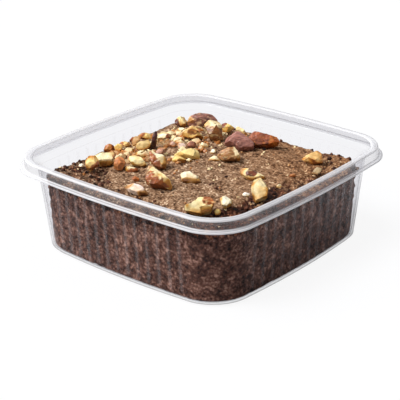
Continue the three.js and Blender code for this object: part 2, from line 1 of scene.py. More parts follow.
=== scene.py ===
"""Chocolate brownie with chopped walnuts, filling its own clear square tub.

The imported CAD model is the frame. Each class below holds one sub-assembly with its
sizes in millimetres, builds its meshes and dresses them; the meshes are in metres.
"""

import logging
import math
from dataclasses import dataclass, field
from enum import Enum
from typing import Any, Iterator, Sequence

import bpy
import numpy as np
from mathutils import Matrix, Vector


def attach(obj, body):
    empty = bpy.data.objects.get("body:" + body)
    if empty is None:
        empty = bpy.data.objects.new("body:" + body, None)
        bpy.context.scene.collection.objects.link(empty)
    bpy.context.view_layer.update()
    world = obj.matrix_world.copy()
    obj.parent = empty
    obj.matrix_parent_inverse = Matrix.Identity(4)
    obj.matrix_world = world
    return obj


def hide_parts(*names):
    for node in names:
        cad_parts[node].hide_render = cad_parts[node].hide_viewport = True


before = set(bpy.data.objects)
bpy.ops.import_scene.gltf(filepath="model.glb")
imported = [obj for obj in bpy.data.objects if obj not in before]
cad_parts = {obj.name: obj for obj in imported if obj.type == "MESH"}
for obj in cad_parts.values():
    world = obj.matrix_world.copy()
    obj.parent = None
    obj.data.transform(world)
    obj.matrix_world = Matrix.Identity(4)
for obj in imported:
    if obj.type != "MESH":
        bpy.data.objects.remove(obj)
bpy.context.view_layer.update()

log = logging.getLogger("brownie")
MM = 0.001
BODY = "root"
CELL_ORIGIN = 1000.0  # keeps the numbers of noise cells above zero
CELL_STEPS = (73856093, 19349663, 83492791)
SEED_STEP = 97561
WORD = 0xFFFFFFFF
FACING_X = (1, 0, -1, 0)  # where the four sides look, from +X on
FACING_Y = (0, 1, 0, -1)
FULL_TURN = 6.283

Layers = tuple[tuple[float, float, int], ...]


def linear(code: str) -> tuple[float, float, float, float]:
    """Turn an sRGB hex colour into linear RGBA.

    Args:
        code: Colour such as "#896850".

    Returns:
        Linear red, green and blue, and an alpha of 1.
    """
    channels = []
    for start in (1, 3, 5):
        value = int(code[start:start + 2], 16) / 255
        if value <= 0.04045:
            channels.append(value / 12.92)
        else:
            channels.append(((value + 0.055) / 1.055) ** 2.4)
    return channels[0], channels[1], channels[2], 1.0


def add(tree: bpy.types.NodeTree, kind: str, inputs: dict | None = None,
        **settings: Any) -> bpy.types.Node:
    """Add a node, set its properties and fill or link its inputs.

    Args:
        tree: Tree that gets the node.
        kind: Blender's identifier of the node type.
        inputs: Socket name or index to a value or to the output that feeds it.
        settings: Node properties by name.

    Returns:
        The new node.
    """
    node = tree.nodes.new(kind)
    for name, value in settings.items():
        setattr(node, name, value)
    for key, value in (inputs or {}).items():
        if isinstance(value, bpy.types.NodeSocket):
            tree.links.new(value, node.inputs[key])
        else:
            node.inputs[key].default_value = value
    return node


def shaded(tree: bpy.types.NodeTree, value: Any, stops: Sequence[tuple[float, str]]
           ) -> bpy.types.NodeSocket:
    """Turn a value into a colour.

    Args:
        tree: Tree that gets the colour ramp.
        value: Socket with the value.
        stops: Positions with sRGB hex colours, lowest first.

    Returns:
        The colour.
    """
    ramp = add(tree, "ShaderNodeValToRGB", {"Fac": value})
    elements = ramp.color_ramp.elements
    while len(elements) < len(stops):
        elements.new(0.5)
    for element, (position, code) in zip(elements, stops):
        element.position = position
        element.color = linear(code)
    return ramp.outputs["Color"]


def maths(tree: bpy.types.NodeTree, operation: str, *values: Any) -> bpy.types.NodeSocket:
    """Result of one maths operation on numbers or sockets."""
    return add(tree, "ShaderNodeMath", dict(enumerate(values)), operation=operation).outputs[0]


def ranged(tree: bpy.types.NodeTree, value: Any, span: tuple, onto: tuple = (0.0, 1.0),
           **settings: Any) -> bpy.types.NodeSocket:
    """Value moved from one span onto another and held at its ends."""
    return add(tree, "ShaderNodeMapRange", {
        "Value": value, "From Min": span[0], "From Max": span[1],
        "To Min": onto[0], "To Max": onto[1]}, **settings).outputs[0]


def blend(tree: bpy.types.NodeTree, share: Any, low: Any, high: Any) -> bpy.types.NodeSocket:
    """Number between low and high."""
    return add(tree, "ShaderNodeMix", {0: share, 2: low, 3: high}).outputs[0]


def blend_colours(tree: bpy.types.NodeTree, share: Any, low: Any, high: Any,
                  blend_type: str = "MIX") -> bpy.types.NodeSocket:
    """Colour between low and high, or low multiplied towards high."""
    return add(tree, "ShaderNodeMix", {0: share, 6: low, 7: high},
               data_type="RGBA", blend_type=blend_type).outputs[2]


def noise(tree: bpy.types.NodeTree, place: Any, size_mm: float, detail: float,
          rough: float = 0.5) -> bpy.types.NodeSocket:
    """Noise of one size at the surface."""
    return add(tree, "ShaderNodeTexNoise", {
        "Vector": place, "Scale": 1 / (size_mm * MM), "Detail": detail,
        "Roughness": rough}).outputs["Fac"]


def empty_material(name: str) -> tuple[bpy.types.Material, bpy.types.NodeTree]:
    """A new material and its cleared node tree."""
    material = bpy.data.materials.new(name)
    material.use_nodes = True
    material.node_tree.nodes.clear()
    return material, material.node_tree


def smoothstep(low: float, high: float, value: np.ndarray) -> np.ndarray:
    """Ease from 0 at low to 1 at high."""
    share = np.clip((value - low) / (high - low), 0.0, 1.0)
    return share * share * (3.0 - 2.0 * share)


def lumps(x: np.ndarray, y: np.ndarray, z: np.ndarray | float, phase: float) -> np.ndarray:
    """Soft bumps between -1 and 1, the same rule as in the CAD model."""
    first = np.sin(x * 1.31 + phase) * np.cos(y * 1.17 - phase * 1.7)
    second = np.sin(y * 1.93 + z * 1.41 + phase * 2.3) * np.cos(x * 0.83 - z * 1.07)
    third = np.sin((x + y) * 2.27 - z * 0.61 + phase * 0.9)
    return first * 0.45 + second * 0.35 + third * 0.2


def lattice(cell: np.ndarray, seed: int) -> np.ndarray:
    """Repeatable random number between 0 and 1 for each whole-number cell."""
    across, along, up = (cell[:, axis] * step for axis, step in enumerate(CELL_STEPS))
    word = ((across ^ along ^ up) + seed * SEED_STEP) & WORD
    for shift, factor in ((15, 739982445), (12, 695872825)):
        word = ((word ^ (word >> shift)) * factor) & WORD
    return ((word ^ (word >> 15)) & 0xFFFF) / 65535.0


def triple(cell: np.ndarray, seed: int, turns: tuple[int, int, int]) -> np.ndarray:
    """Three repeatable random numbers between 0 and 1 for each cell."""
    return np.stack([lattice(cell, seed + turn) for turn in turns], axis=1)


def layered(points: np.ndarray, layers: Layers) -> np.ndarray:
    """Sum of smooth noises, each given by its height, its size and its seed."""
    return sum(height * grain(points, size, seed) for height, size, seed in layers)


def cells_around(points: np.ndarray, size: float, seed: int
                 ) -> Iterator[tuple[np.ndarray, np.ndarray, np.ndarray]]:
    """Go through the 27 cells around each point.

    Args:
        points: Points in millimetres, one a row.
        size: Width of a cell in millimetres.
        seed: Seed of the pattern.

    Yields:
        The points in cell widths, the cell's number, and where its chip's middle lies in it.
    """
    place = points / size + CELL_ORIGIN
    base = np.floor(place).astype(np.int64)
    for corner in np.ndindex(3, 3, 3):
        cell = base + np.array(corner) - 1
        yield place, cell, triple(cell, seed, (11, 23, 37))


def grain(points: np.ndarray, size: float, seed: int) -> np.ndarray:
    """Smooth noise between -1 and 1.

    Args:
        points: Points in millimetres, one a row.
        size: Width of a cell in millimetres.
        seed: Seed of the pattern.

    Returns:
        One value for each point.
    """
    place = points / size + CELL_ORIGIN
    base = np.floor(place).astype(np.int64)
    inside = place - base
    inside = inside * inside * (3.0 - 2.0 * inside)
    total = np.zeros(len(points))
    for corner in np.ndindex(2, 2, 2):
        step = np.array(corner)
        weight = np.prod(np.where(step == 1, inside, 1.0 - inside), axis=1)
        total += weight * lattice(base + step, seed)
    return total * 2.0 - 1.0


def chips(points: np.ndarray, size: float, seed: int) -> np.ndarray:
    """Distance to the nearest of many scattered points, in cell widths.

    Args:
        points: Points in millimetres, one a row.
        size: Width of a cell in millimetres.
        seed: Seed of the pattern.

    Returns:
        About 0 in the middle of each chip and near 1 in the creases.
    """
    nearest = np.full(len(points), 9.0)
    for place, cell, jitter in cells_around(points, size, seed):
        nearest = np.minimum(nearest, np.linalg.norm(cell + jitter - place, axis=1))
    return nearest


def shards(points: np.ndarray, size: float, seed: int
           ) -> tuple[np.ndarray, np.ndarray, np.ndarray]:
    """Flat faces of something broken, each with its own slope, step and shade.

    Args:
        points: Points in millimetres, one a row.
        size: Width of a face in millimetres.
        seed: Seed of the pattern.

    Returns:
        Height in face widths, shade from 0 to 1 and distance from the nearest crease.
    """
    nearest, second = np.full(len(points), 9.0), np.full(len(points), 9.0)
    height, shade = np.zeros(len(points)), np.zeros(len(points))
    for place, cell, jitter in cells_around(points, size, seed):
        slope = triple(cell, seed, (41, 53, 67))
        away = place - cell - jitter
        reach = np.linalg.norm(away, axis=1)
        level = np.sum(away * (slope * 2.0 - 1.0), axis=1) + lattice(cell, seed + 71) - 0.5
        closer = reach < nearest
        second = np.where(closer, nearest, np.minimum(second, reach))
        height = np.where(closer, level, height)
        shade = np.where(closer, lattice(cell, seed + 83), shade)
        nearest = np.minimum(nearest, reach)
    return height, shade, second - nearest


def mesh_object(name: str, vertices: np.ndarray, faces: Sequence[Sequence[int]],
                material: bpy.types.Material) -> bpy.types.Object:
    """Make a smooth-shaded object at the origin.

    Args:
        name: Name of the object and its mesh.
        vertices: Points in millimetres, one a row.
        faces: Corner numbers of each face, counter-clockwise from outside.
        material: The object's one material.

    Returns:
        The linked object.
    """
    mesh = bpy.data.meshes.new(name)
    mesh.from_pydata((np.asarray(vertices) * MM).tolist(), [], [list(face) for face in faces])
    mesh.materials.append(material)
    mesh.update()
    mesh.shade_smooth()
    thing = bpy.data.objects.new(name, mesh)
    bpy.context.scene.collection.objects.link(thing)
    return thing


def paint(thing: bpy.types.Object, name: str, values: np.ndarray) -> None:
    """Store one number, or one colour, for each vertex.

    Args:
        thing: Object whose mesh gets the attribute.
        name: Attribute name that materials and node trees read.
        values: One value, three or four a vertex.
    """
    kinds = {1: ("FLOAT", "value"), 3: ("FLOAT_VECTOR", "vector"), 4: ("FLOAT_COLOR", "color")}
    width = 1 if values.ndim == 1 else values.shape[1]
    kind, key = kinds[width]
    layer = thing.data.attributes.new(name, kind, "POINT")
    layer.data.foreach_set(key, values.astype(np.float32).ravel())


def vertex_rows(thing: bpy.types.Object, key: str) -> np.ndarray:
    """The key "co" or "normal" of all vertices, one a row."""
    flat = np.empty(len(thing.data.vertices) * 3)
    thing.data.vertices.foreach_get(key, flat)
    return flat.reshape(-1, 3)


def mesh_points(thing: bpy.types.Object) -> np.ndarray:
    """All vertices of an object in millimetres, one a row."""
    return vertex_rows(thing, "co") / MM


def move_points(thing: bpy.types.Object, points: np.ndarray) -> None:
    """Give an object's vertices new places in millimetres."""
    thing.data.vertices.foreach_set("co", (points * MM).ravel())
    thing.data.update()


def freeze(thing: bpy.types.Object) -> None:
    """Turn an object's modifiers into a plain mesh and remove them."""
    bpy.context.view_layer.update()
    shaped = thing.evaluated_get(bpy.context.evaluated_depsgraph_get())
    result = bpy.data.meshes.new_from_object(shaped)
    thing.modifiers.clear()
    thing.data = result


class NodeRecipe:
    """A Geometry Nodes tree with named inputs, applied to one object."""

    def __init__(self, name: str, sizes: dict[str, float]) -> None:
        """Open a tree with a geometry input and one number for each size.

        Args:
            name: Name of the tree.
            sizes: Input names with the values that the modifier gets.
        """
        self.tree = bpy.data.node_groups.new(name, "GeometryNodeTree")
        self.sizes = sizes
        face = self.tree.interface
        face.new_socket("Geometry", in_out="INPUT", socket_type="NodeSocketGeometry")
        face.new_socket("Geometry", in_out="OUTPUT", socket_type="NodeSocketGeometry")
        self.keys: dict[str, str] = {}
        for label in sizes:
            socket = face.new_socket(label, in_out="INPUT", socket_type="NodeSocketFloat")
            self.keys[label] = socket.identifier
        self.inputs = add(self.tree, "NodeGroupInput")

    def value(self, label: str) -> bpy.types.NodeSocket:
        """Output socket of a named input."""
        return self.inputs.outputs[label]

    def math(self, operation: str, *values: Any) -> bpy.types.NodeSocket:
        """Result of one maths operation on numbers or sockets."""
        return maths(self.tree, operation, *values)

    def named(self, name: str, data_type: str = "FLOAT") -> bpy.types.NodeSocket:
        """Values of a named attribute."""
        return add(self.tree, "GeometryNodeInputNamedAttribute", {"Name": name},
                   data_type=data_type).outputs[0]

    def finish(self, geometry: bpy.types.NodeSocket, material: bpy.types.Material) -> None:
        """Realise the instances, set the material and end the tree."""
        real = add(self.tree, "GeometryNodeRealizeInstances", {"Geometry": geometry})
        dressed = add(self.tree, "GeometryNodeSetMaterial", {
            "Geometry": real.outputs[0], "Material": material})
        add(self.tree, "NodeGroupOutput", {"Geometry": dressed.outputs[0]})

    def apply(self, thing: bpy.types.Object) -> None:
        """Run the tree on an object and keep the result as its plain mesh."""
        modifier = thing.modifiers.new(self.tree.name, "NODES")
        modifier.node_group = self.tree
        for label, amount in self.sizes.items():
            modifier[self.keys[label]] = float(amount)
        freeze(thing)


@dataclass(frozen=True)
class ClearPlastic:
    """Thermoformed polypropylene: thin clear walls, a thicker milky rim with painted highlights
    on its edges.
    """

    name: str = "Thermoformed clear polypropylene"
    clear_tint: str = "#f9f9fa"
    # Haze colour, which also makes the painted highlights on the rim's edges.
    haze_and_light: str = "#f6f6f8"
    # Painted shade: grey that the lip wall's haze turns to, for the dark band seen there.
    painted_lip_shade: str = "#c8c4c3"
    painted_lip_shade_at: float = 0.2
    painted_lip_shade_reach: tuple[float, float] = (0.05, 0.1)
    face_milk: float = 0.001
    edge_milk: float = 0.4
    edge_power: float = 6.0
    milk_seen_flat: float = 0.7
    milk_seen_slant: float = 0.6
    glow_share: float = 0.45
    face_gloss: float = 0.002
    roughness: float = 0.12
    body_roughness: float = 0.5
    ior: float = 1.49

    def build(self) -> bpy.types.Material:
        """Make the material, which reads the vertex attribute "milk".

        Returns:
            Thin see-through sheet whose haze and gloss grow towards its edges; high values of the
            attribute paint the highlights on the rim's edges.
        """
        material, tree = empty_material(self.name)

        slant = add(tree, "ShaderNodeLayerWeight", {"Blend": 0.5}).outputs["Facing"]
        edge_on = maths(tree, "POWER", slant, self.edge_power)
        # The attribute holds the rim's haze together with its painted highlights and painted
        # shade.
        haze_and_light_attribute = add(tree, "ShaderNodeAttribute", attribute_name="haze_and_light").outputs["Fac"]
        edge_milk = maths(tree, "MULTIPLY_ADD", edge_on, self.edge_milk, self.face_milk)
        depth = maths(tree, "MULTIPLY_ADD", slant, self.milk_seen_slant, self.milk_seen_flat)
        haze_and_light_share = maths(tree, "MULTIPLY_ADD", haze_and_light_attribute, depth, edge_milk)
        haze_and_light_share.node.use_clamp = True
        gloss_share = maths(tree, "MULTIPLY_ADD", edge_on, 1.0 - self.face_gloss,
                            self.face_gloss)
        clear = add(tree, "ShaderNodeBsdfTransparent", {"Color": linear(self.clear_tint)})
        # Painted shade: where the attribute is near the lip wall's value, the body turns to that
        # grey.
        apart = maths(tree, "ABSOLUTE", maths(tree, "SUBTRACT", haze_and_light_attribute, self.painted_lip_shade_at))
        whiteness = ranged(tree, apart, self.painted_lip_shade_reach)
        hue = blend_colours(tree, whiteness, linear(self.painted_lip_shade), linear(self.haze_and_light))
        body = add(tree, "ShaderNodeBsdfPrincipled", {
            "Base Color": hue, "Roughness": self.body_roughness, "IOR": self.ior})
        glow = add(tree, "ShaderNodeBsdfTranslucent", {"Color": hue})
        haze = add(tree, "ShaderNodeMixShader", {
            0: self.glow_share, 1: body.outputs[0], 2: glow.outputs[0]})
        sheet = add(tree, "ShaderNodeMixShader", {
            0: haze_and_light_share, 1: clear.outputs[0], 2: haze.outputs[0]})
        gloss = add(tree, "ShaderNodeBsdfAnisotropic", {
            "Color": (1.0, 1.0, 1.0, 1.0), "Roughness": self.roughness})
        mix = add(tree, "ShaderNodeMixShader", {
            0: gloss_share, 1: sheet.outputs[0], 2: gloss.outputs[0]})
        add(tree, "ShaderNodeOutputMaterial", {"Surface": mix.outputs[0]})
        return material


@dataclass(frozen=True)
class BrownieBake:
    """Baked chocolate batter: dry matt taupe crust over dark, moist, open crumb."""

    name: str = "Baked chocolate brownie"
    crust_stops: tuple[tuple[float, str], ...] = (
        (0.35, "#2a180d"), (0.44, "#634631"), (0.52, "#8a6a50"), (0.6, "#a98a6e"),
        (0.68, "#e4cfb2"))
    torn_stops: tuple[tuple[float, str], ...] = (
        (0.38, "#0b0301"), (0.48, "#2c1208"), (0.565, "#603622"), (0.68, "#b88564"))
    crumb_stops: tuple[tuple[float, str], ...] = (
        (0.34, "#170c09"), (0.43, "#40271f"), (0.53, "#6c483b"), (0.64, "#b28875"))
    speckle_mm: float = 0.9
    grain_mm: float = 1.3
    mottle_mm: float = 3.6
    crumb_mm: float = 1.3
    clump_mm: float = 5.5
    mottle_share: float = 0.35
    clump_share: float = 0.46
    # Painted shade: tint that darkens the crust towards +X and +Y, the side away from the key
    # light.
    painted_shade_tint: str = "#f0e0cd"
    painted_shade_mm: tuple[float, float] = (8.0, 62.0)
    ragged: float = 0.5
    torn_from: tuple[float, float] = (0.15, 0.4)
    crust_from: tuple[float, float] = (0.65, 0.85)
    crumb_bump_mm: float = 0.8
    crust_bump_mm: float = 0.3
    crumb_roughness: float = 0.62
    crust_roughness: float = 0.93
    shine: float = 0.14

    def granules(self, tree: bpy.types.NodeTree, place: Any, depth: float
                 ) -> bpy.types.NodeSocket:
        """Rounded grains: raised in their middles, low in the gaps between them."""
        cells = add(tree, "ShaderNodeTexVoronoi", {
            "Vector": place, "Scale": 1 / (self.grain_mm * MM)}).outputs["Distance"]
        return maths(tree, "MULTIPLY_ADD", cells, -depth, depth / 2)

    def build(self) -> bpy.types.Material:
        """Make the material, which reads the vertex attribute "crust".

        Returns:
            Pressed crumb at 0, torn dry crumb at a half and crust at 1.
        """
        material, tree = empty_material(self.name)
        place = add(tree, "ShaderNodeTexCoord").outputs["Object"]
        # The granules also darken the colour in the gaps between grains: painted shade.
        speckle = maths(tree, "ADD", noise(tree, place, self.speckle_mm, 3.0, 0.7),
                        self.granules(tree, place, 0.2))
        mottle = noise(tree, place, self.mottle_mm, 2.0, 0.6)
        crust_tone = blend(tree, self.mottle_share, speckle, mottle)
        # Painted shade: the crust is multiplied darker towards +X and +Y, away from the key
        # light.
        ways = add(tree, "ShaderNodeSeparateXYZ", {0: place})
        across = maths(tree, "ADD", ways.outputs["X"], ways.outputs["Y"])
        across = ranged(tree, across, (self.painted_shade_mm[0] * MM, self.painted_shade_mm[1] * MM))
        shaded_crust = blend_colours(tree, across, shaded(tree, crust_tone, self.crust_stops),
                              linear(self.painted_shade_tint), "MULTIPLY")

        # Here too the granules darken the colour in the gaps between grains: painted shade.
        fine = maths(tree, "ADD", noise(tree, place, self.crumb_mm, 4.0, 0.75),
                     self.granules(tree, place, 0.3))
        clump = noise(tree, place, self.clump_mm, 3.0, 0.7)
        crumb_tone = blend(tree, self.clump_share, fine, clump)

        crust = add(tree, "ShaderNodeAttribute", attribute_name="crust").outputs["Fac"]
        ragged = maths(tree, "ADD", speckle, -0.5)
        share = maths(tree, "MULTIPLY_ADD", ragged, self.ragged, crust)
        lower = ranged(tree, share, self.torn_from)
        upper = ranged(tree, share, self.crust_from)
        open_crumb = blend_colours(tree, lower, shaded(tree, crumb_tone, self.crumb_stops),
                                   shaded(tree, crumb_tone, self.torn_stops))
        colour = blend_colours(tree, upper, open_crumb, shaded_crust)
        bump = add(tree, "ShaderNodeBump", {
            "Height": blend(tree, upper, fine, speckle), "Strength": 1.0,
            "Distance": blend(tree, upper, self.crumb_bump_mm * MM, self.crust_bump_mm * MM)})
        cake = add(tree, "ShaderNodeBsdfPrincipled", {
            "Base Color": colour,
            "Roughness": blend(tree, upper, self.crumb_roughness, self.crust_roughness),
            "Specular IOR Level": self.shine, "Normal": bump.outputs["Normal"]})
        add(tree, "ShaderNodeOutputMaterial", {"Surface": cake.outputs[0]})
        return material


@dataclass(frozen=True)
class WalnutKernel:
    """Roasted walnut: waxy cream flesh and thin, slightly glossy brown skin."""

    name: str = "Roasted walnut kernel"
    vein_mm: float = 1.6
    tooth_mm: float = 0.5
    vein_span: tuple[float, float] = (0.3, 0.7)
    vein_light: tuple[float, float] = (0.72, 1.18)
    bump_mm: float = 0.35
    flesh_to_skin_roughness: tuple[float, float] = (0.5, 0.38)
    shine: float = 0.4

    def build(self) -> bpy.types.Material:
        """Make the material, which reads the attributes "tone" and "skin".

        Returns:
            Kernel material with each piece's own colour.
        """
        material, tree = empty_material(self.name)
        place = add(tree, "ShaderNodeTexCoord").outputs["Object"]
        tone = add(tree, "ShaderNodeAttribute", attribute_name="tone").outputs["Color"]
        skin = add(tree, "ShaderNodeAttribute", attribute_name="skin").outputs["Fac"]
        vein = noise(tree, place, self.vein_mm, 3.0)
        tooth = noise(tree, place, self.tooth_mm, 2.0)
        light = ranged(tree, vein, self.vein_span, self.vein_light)
        veined = add(tree, "ShaderNodeVectorMath", {0: tone, "Scale": light}, operation="SCALE")
        bump = add(tree, "ShaderNodeBump", {
            "Height": blend(tree, 0.5, tooth, vein), "Strength": 0.5,
            "Distance": self.bump_mm * MM})
        kernel = add(tree, "ShaderNodeBsdfPrincipled", {
            "Base Color": veined.outputs[0],
            "Roughness": ranged(tree, skin, (0.0, 1.0), self.flesh_to_skin_roughness),
            "Specular IOR Level": self.shine, "Normal": bump.outputs["Normal"]})
        add(tree, "ShaderNodeOutputMaterial", {"Surface": kernel.outputs[0]})
        return material


@dataclass(frozen=True)
class PaperFloor:
    """White paper sweep under the tub: matt, overexposed in the picture, dimmer in its bounce."""

    name: str = "White paper sweep"
    colour: str = "#f8f8f8"
    shade: str = "#48484a"
    bounce: str = "#b4b4b6"
    glow: float = 0.96

    def build(self) -> bpy.types.Material:
        """Make the material."""
        material, tree = empty_material(self.name)
        paper = add(tree, "ShaderNodeBsdfDiffuse", {"Color": linear(self.shade)})
        lit = add(tree, "ShaderNodeEmission", {
            "Color": linear(self.colour), "Strength": self.glow})
        bright = add(tree, "ShaderNodeAddShader", {0: paper.outputs[0], 1: lit.outputs[0]})
        dim = add(tree, "ShaderNodeBsdfDiffuse", {"Color": linear(self.bounce)})
        light = add(tree, "ShaderNodeLightPath")
        seen = add(tree, "ShaderNodeMixShader", {
            0: light.outputs["Is Camera Ray"], 1: dim.outputs[0], 2: bright.outputs[0]})
        add(tree, "ShaderNodeOutputMaterial", {"Surface": seen.outputs[0]})
        return material


def evened(line: np.ndarray, steps: int) -> np.ndarray:
    """Evenly spaced points along a line, ends included.

    Args:
        line: Corner points, one a row.
        steps: Number of equal steps.

    Returns:
        steps + 1 points.
    """
    reach = np.concatenate([[0], np.cumsum(np.linalg.norm(np.diff(line, axis=0), axis=1))])
    even = np.linspace(0, reach[-1], steps + 1)
    return np.stack([np.interp(even, reach, line[:, axis]) for axis in (0, 1)], 1)


@dataclass(frozen=True)
class SquareOutline:
    """Rounded square whose sides bow outwards a little."""

    bow: float = 1.36

    def quarter(self, half: float, radius: float, steps: int) -> np.ndarray:
        """One side with half a corner at each end.

        Args:
            half: Half width at the ends of the side.
            radius: Corner radius.
            steps: Number of equal steps along the side.

        Returns:
            Points from one corner's middle to the next, evenly spaced, ends included.
        """
        flat = half - radius
        lower = np.linspace(-math.pi / 4, 0, 24, endpoint=False)
        upper = np.linspace(0, math.pi / 4, 25)[1:]
        along = np.linspace(-flat, flat, 60)
        parts = [
            np.stack([flat + radius * np.cos(lower), -flat + radius * np.sin(lower)], 1),
            np.stack([half + self.bow * (1 - (along / flat) ** 2), along], 1),
            np.stack([flat + radius * np.cos(upper), flat + radius * np.sin(upper)], 1),
        ]
        return evened(np.concatenate(parts), steps)

    def ring(self, half: float, radius: float, steps: int) -> np.ndarray:
        """Whole outline, counter-clockwise from the middle of the +X -Y corner.

        Args:
            half: Half width at the ends of a side.
            radius: Corner radius.
            steps: Points a side.

        Returns:
            4 x steps points.
        """
        side = self.quarter(half, radius, steps)[:-1]
        return np.concatenate([side @ np.array([[cos, sin], [-sin, cos]])
                               for cos, sin in zip(FACING_X, FACING_Y)])


def loft(rings: Sequence[np.ndarray], first: np.ndarray, last: np.ndarray
         ) -> tuple[np.ndarray, list[tuple[int, ...]]]:
    """Closed skin over rings of points, with a fan at each end.

    Args:
        rings: Rings of equally many points, counter-clockwise seen from the last one.
        first: Pole before the first ring.
        last: Pole after the last ring.

    Returns:
        Vertices and faces.
    """
    count = len(rings[0])
    vertices = np.concatenate([[first], *rings, [last]])
    here = np.arange(count)
    there = (here + 1) % count
    faces: list[tuple[int, ...]] = [(0, 1 + b, 1 + a) for a, b in zip(here, there)]
    for number in range(len(rings) - 1):
        low = 1 + number * count
        high = low + count
        faces += [(low + a, low + b, high + b, high + a) for a, b in zip(here, there)]
    top = 1 + (len(rings) - 1) * count
    end = len(vertices) - 1
    faces += [(end, top + a, top + b) for a, b in zip(here, there)]
    return vertices, faces


@dataclass
class Tub:
    """Clear square tub with a stepped rim, a flange and ribs pressed into its walls."""

    height: float = 40.0
    sheet: float = 0.7
    lip_half: float = 57.0
    lip_radius: float = 17.6
    lip_top_width: float = 2.4
    flange_out: float = 1.6
    flange_z: float = 35.0
    ledge_z: float = 37.6
    wall_top_half: float = 52.7
    wall_top_radius: float = 15.7
    base_half: float = 50.5
    base_radius: float = 17.9
    base_thickness: float = 0.8
    foot_z: float = 1.4
    # Height of a ring that carries a painted reflection line of the ledge, and that line's
    # milkiness.
    reflection_line_z: float = 33.5
    painted_reflection_line: float = 0.1
    wall_rows: tuple[float, ...] = (
        3.0, 3.5, 4.0, 4.5, 6.0, 10.0, 16.0, 22.0, 28.0, 31.5, 32.0, 32.5, 33.2)
    steps_per_side: int = 150
    # Rib sizes; the crest haze paints highlight streaks along the ribs.
    ribs: dict[str, float] = field(default_factory=lambda: {
        "Pitch facing X": 5.75 * MM, "Pitch facing Y": 5.35 * MM, "Reach": 34.0 * MM,
        "Width": 1.5 * MM, "Crest": 0.4 * MM, "Depth": 0.32 * MM, "Crest highlight": 0.07,
        "Low": 3.5 * MM, "High": 32.5 * MM, "Run-out": 1.0 * MM})
    outline: SquareOutline = field(default_factory=SquareOutline)

    def wall_half(self, z: float) -> float:
        """Half width of the wall's outside at one height."""
        return self.base_half + (self.wall_top_half - self.base_half) * z / self.flange_z

    def wall_radius(self, z: float) -> float:
        """Corner radius of the wall's outside at one height."""
        return self.base_radius + (self.wall_top_radius - self.base_radius) * z / self.flange_z

    def wall(self, z: float, inset: float) -> tuple[float, float, float, float]:
        """One ring of the clear wall, set in from the outside."""
        return z, self.wall_half(z) - inset, self.wall_radius(z) - inset * 0.6, 0.0

    def profile(self) -> list[tuple[float, float, float, float]]:
        """Rings from the underside up the outside, over the lip and down the inside.

        Returns:
            Height, half width, corner radius and milkiness of each ring; the milkiness also
            carries painted highlights, painted shade and a painted reflection line.
        """
        sheet, ledge, flange, top = self.sheet, self.ledge_z, self.flange_z, self.height
        rolled = flange + sheet
        lip = (self.lip_half, self.lip_radius)
        under_lip = (self.lip_half - sheet, self.lip_radius)
        inner = (self.lip_half - self.lip_top_width,
                 self.lip_radius - self.lip_top_width * 0.5)
        outer = (self.lip_half + self.flange_out, self.lip_radius + self.flange_out * 0.6)
        base = (self.base_half, self.base_radius)
        foot = (self.wall_half(self.foot_z), self.wall_radius(self.foot_z))
        foot_inside = (foot[0] - sheet, foot[1])
        # Height, line that the ring keeps to, half width and radius beyond it, milkiness with
        # painted light.
        # The pale line along the bottom edge is a painted highlight.
        low = [
            (0.0, base, -2.4, -1.8, 0.03), (0.1, base, -1.6, -1.2, 0.15),
            (0.5, base, -0.7, -0.5, 0.25), (self.foot_z, foot, 0.0, 0.0, 0.05),
        ]
        under_rim = [
            (ledge - sheet, inner, -0.6, 0.0, 0.0), (ledge - 0.3, inner, -0.15, 0.0, 0.0),
            (ledge + 0.1, inner, 0.0, 0.0, 0.0), (top - sheet - 0.4, inner, 0.42, 0.2, 0.0),
            (top - sheet, inner, 0.8, 0.3, 0.0), (top - sheet, under_lip, -0.5, -0.6, 0.0),
            (top - sheet - 0.4, under_lip, -0.05, -0.5, 0.0),
            (flange + 0.8, under_lip, 0.1, -0.4, 0.0), (flange + 0.2, under_lip, 0.3, -0.4, 0.0),
        ]
        # Painted highlights: bright lines along the flange's rounded edges and a paler band on
        # its top.
        rolled_flange = [
            (flange, lip, 0.0, -0.1, 0.0), (flange, outer, -0.25, 0.0, 0.2),
            (flange + 0.12, outer, 0.0, 0.0, 0.95), (rolled - 0.12, outer, 0.0, 0.0, 0.95),
            (rolled, outer, -0.25, 0.0, 0.9), (rolled, outer, -0.5, 0.0, 0.5),
            (rolled + 0.05, lip, 0.6, 0.3, 0.5), (rolled + 0.25, lip, 0.25, 0.1, 0.95),
        ]
        # Painted shade: the lip wall's milkiness near 0.2 turns it to the grey.
        lip_wall = [
            (rolled + 0.6, lip, 0.04, 0.0, 0.2), (flange + 2.2, lip, 0.0, 0.0, 0.18),
            (top - 1.0, lip, -0.05, -0.1, 0.2),
        ]
        # Painted highlights: bright lines on the lip's outer and inner top edges, and the pale
        # band between them.
        lip_top = [
            (top - 0.6, lip, -0.12, -0.1, 0.95), (top - 0.15, lip, -0.4, -0.3, 0.98),
            (top, lip, -0.85, -0.4, 0.56), (top, inner, 0.7, 0.2, 0.54),
            (top - 0.04, inner, 0.3, 0.0, 0.74), (top - 0.25, inner, -0.15, -0.2, 0.9),
        ]
        ledge_inside = [
            (top - 0.7, inner, -0.4, -0.3, 0.08), (ledge + 0.4, inner, -0.8, -0.5, 0.06),
            (ledge + 0.05, inner, -1.0, -0.6, 0.12), (ledge - 0.1, inner, -1.4, -0.8, 0.12),
        ]
        floor = [
            (1.5, foot_inside, -0.25, -0.6, 0.02), (1.0, foot_inside, -0.9, -1.0, 0.05),
            (self.base_thickness, base, -2.8, -2.0, 0.02),
        ]
        outside = [self.wall(z, 0) for z in self.wall_rows]
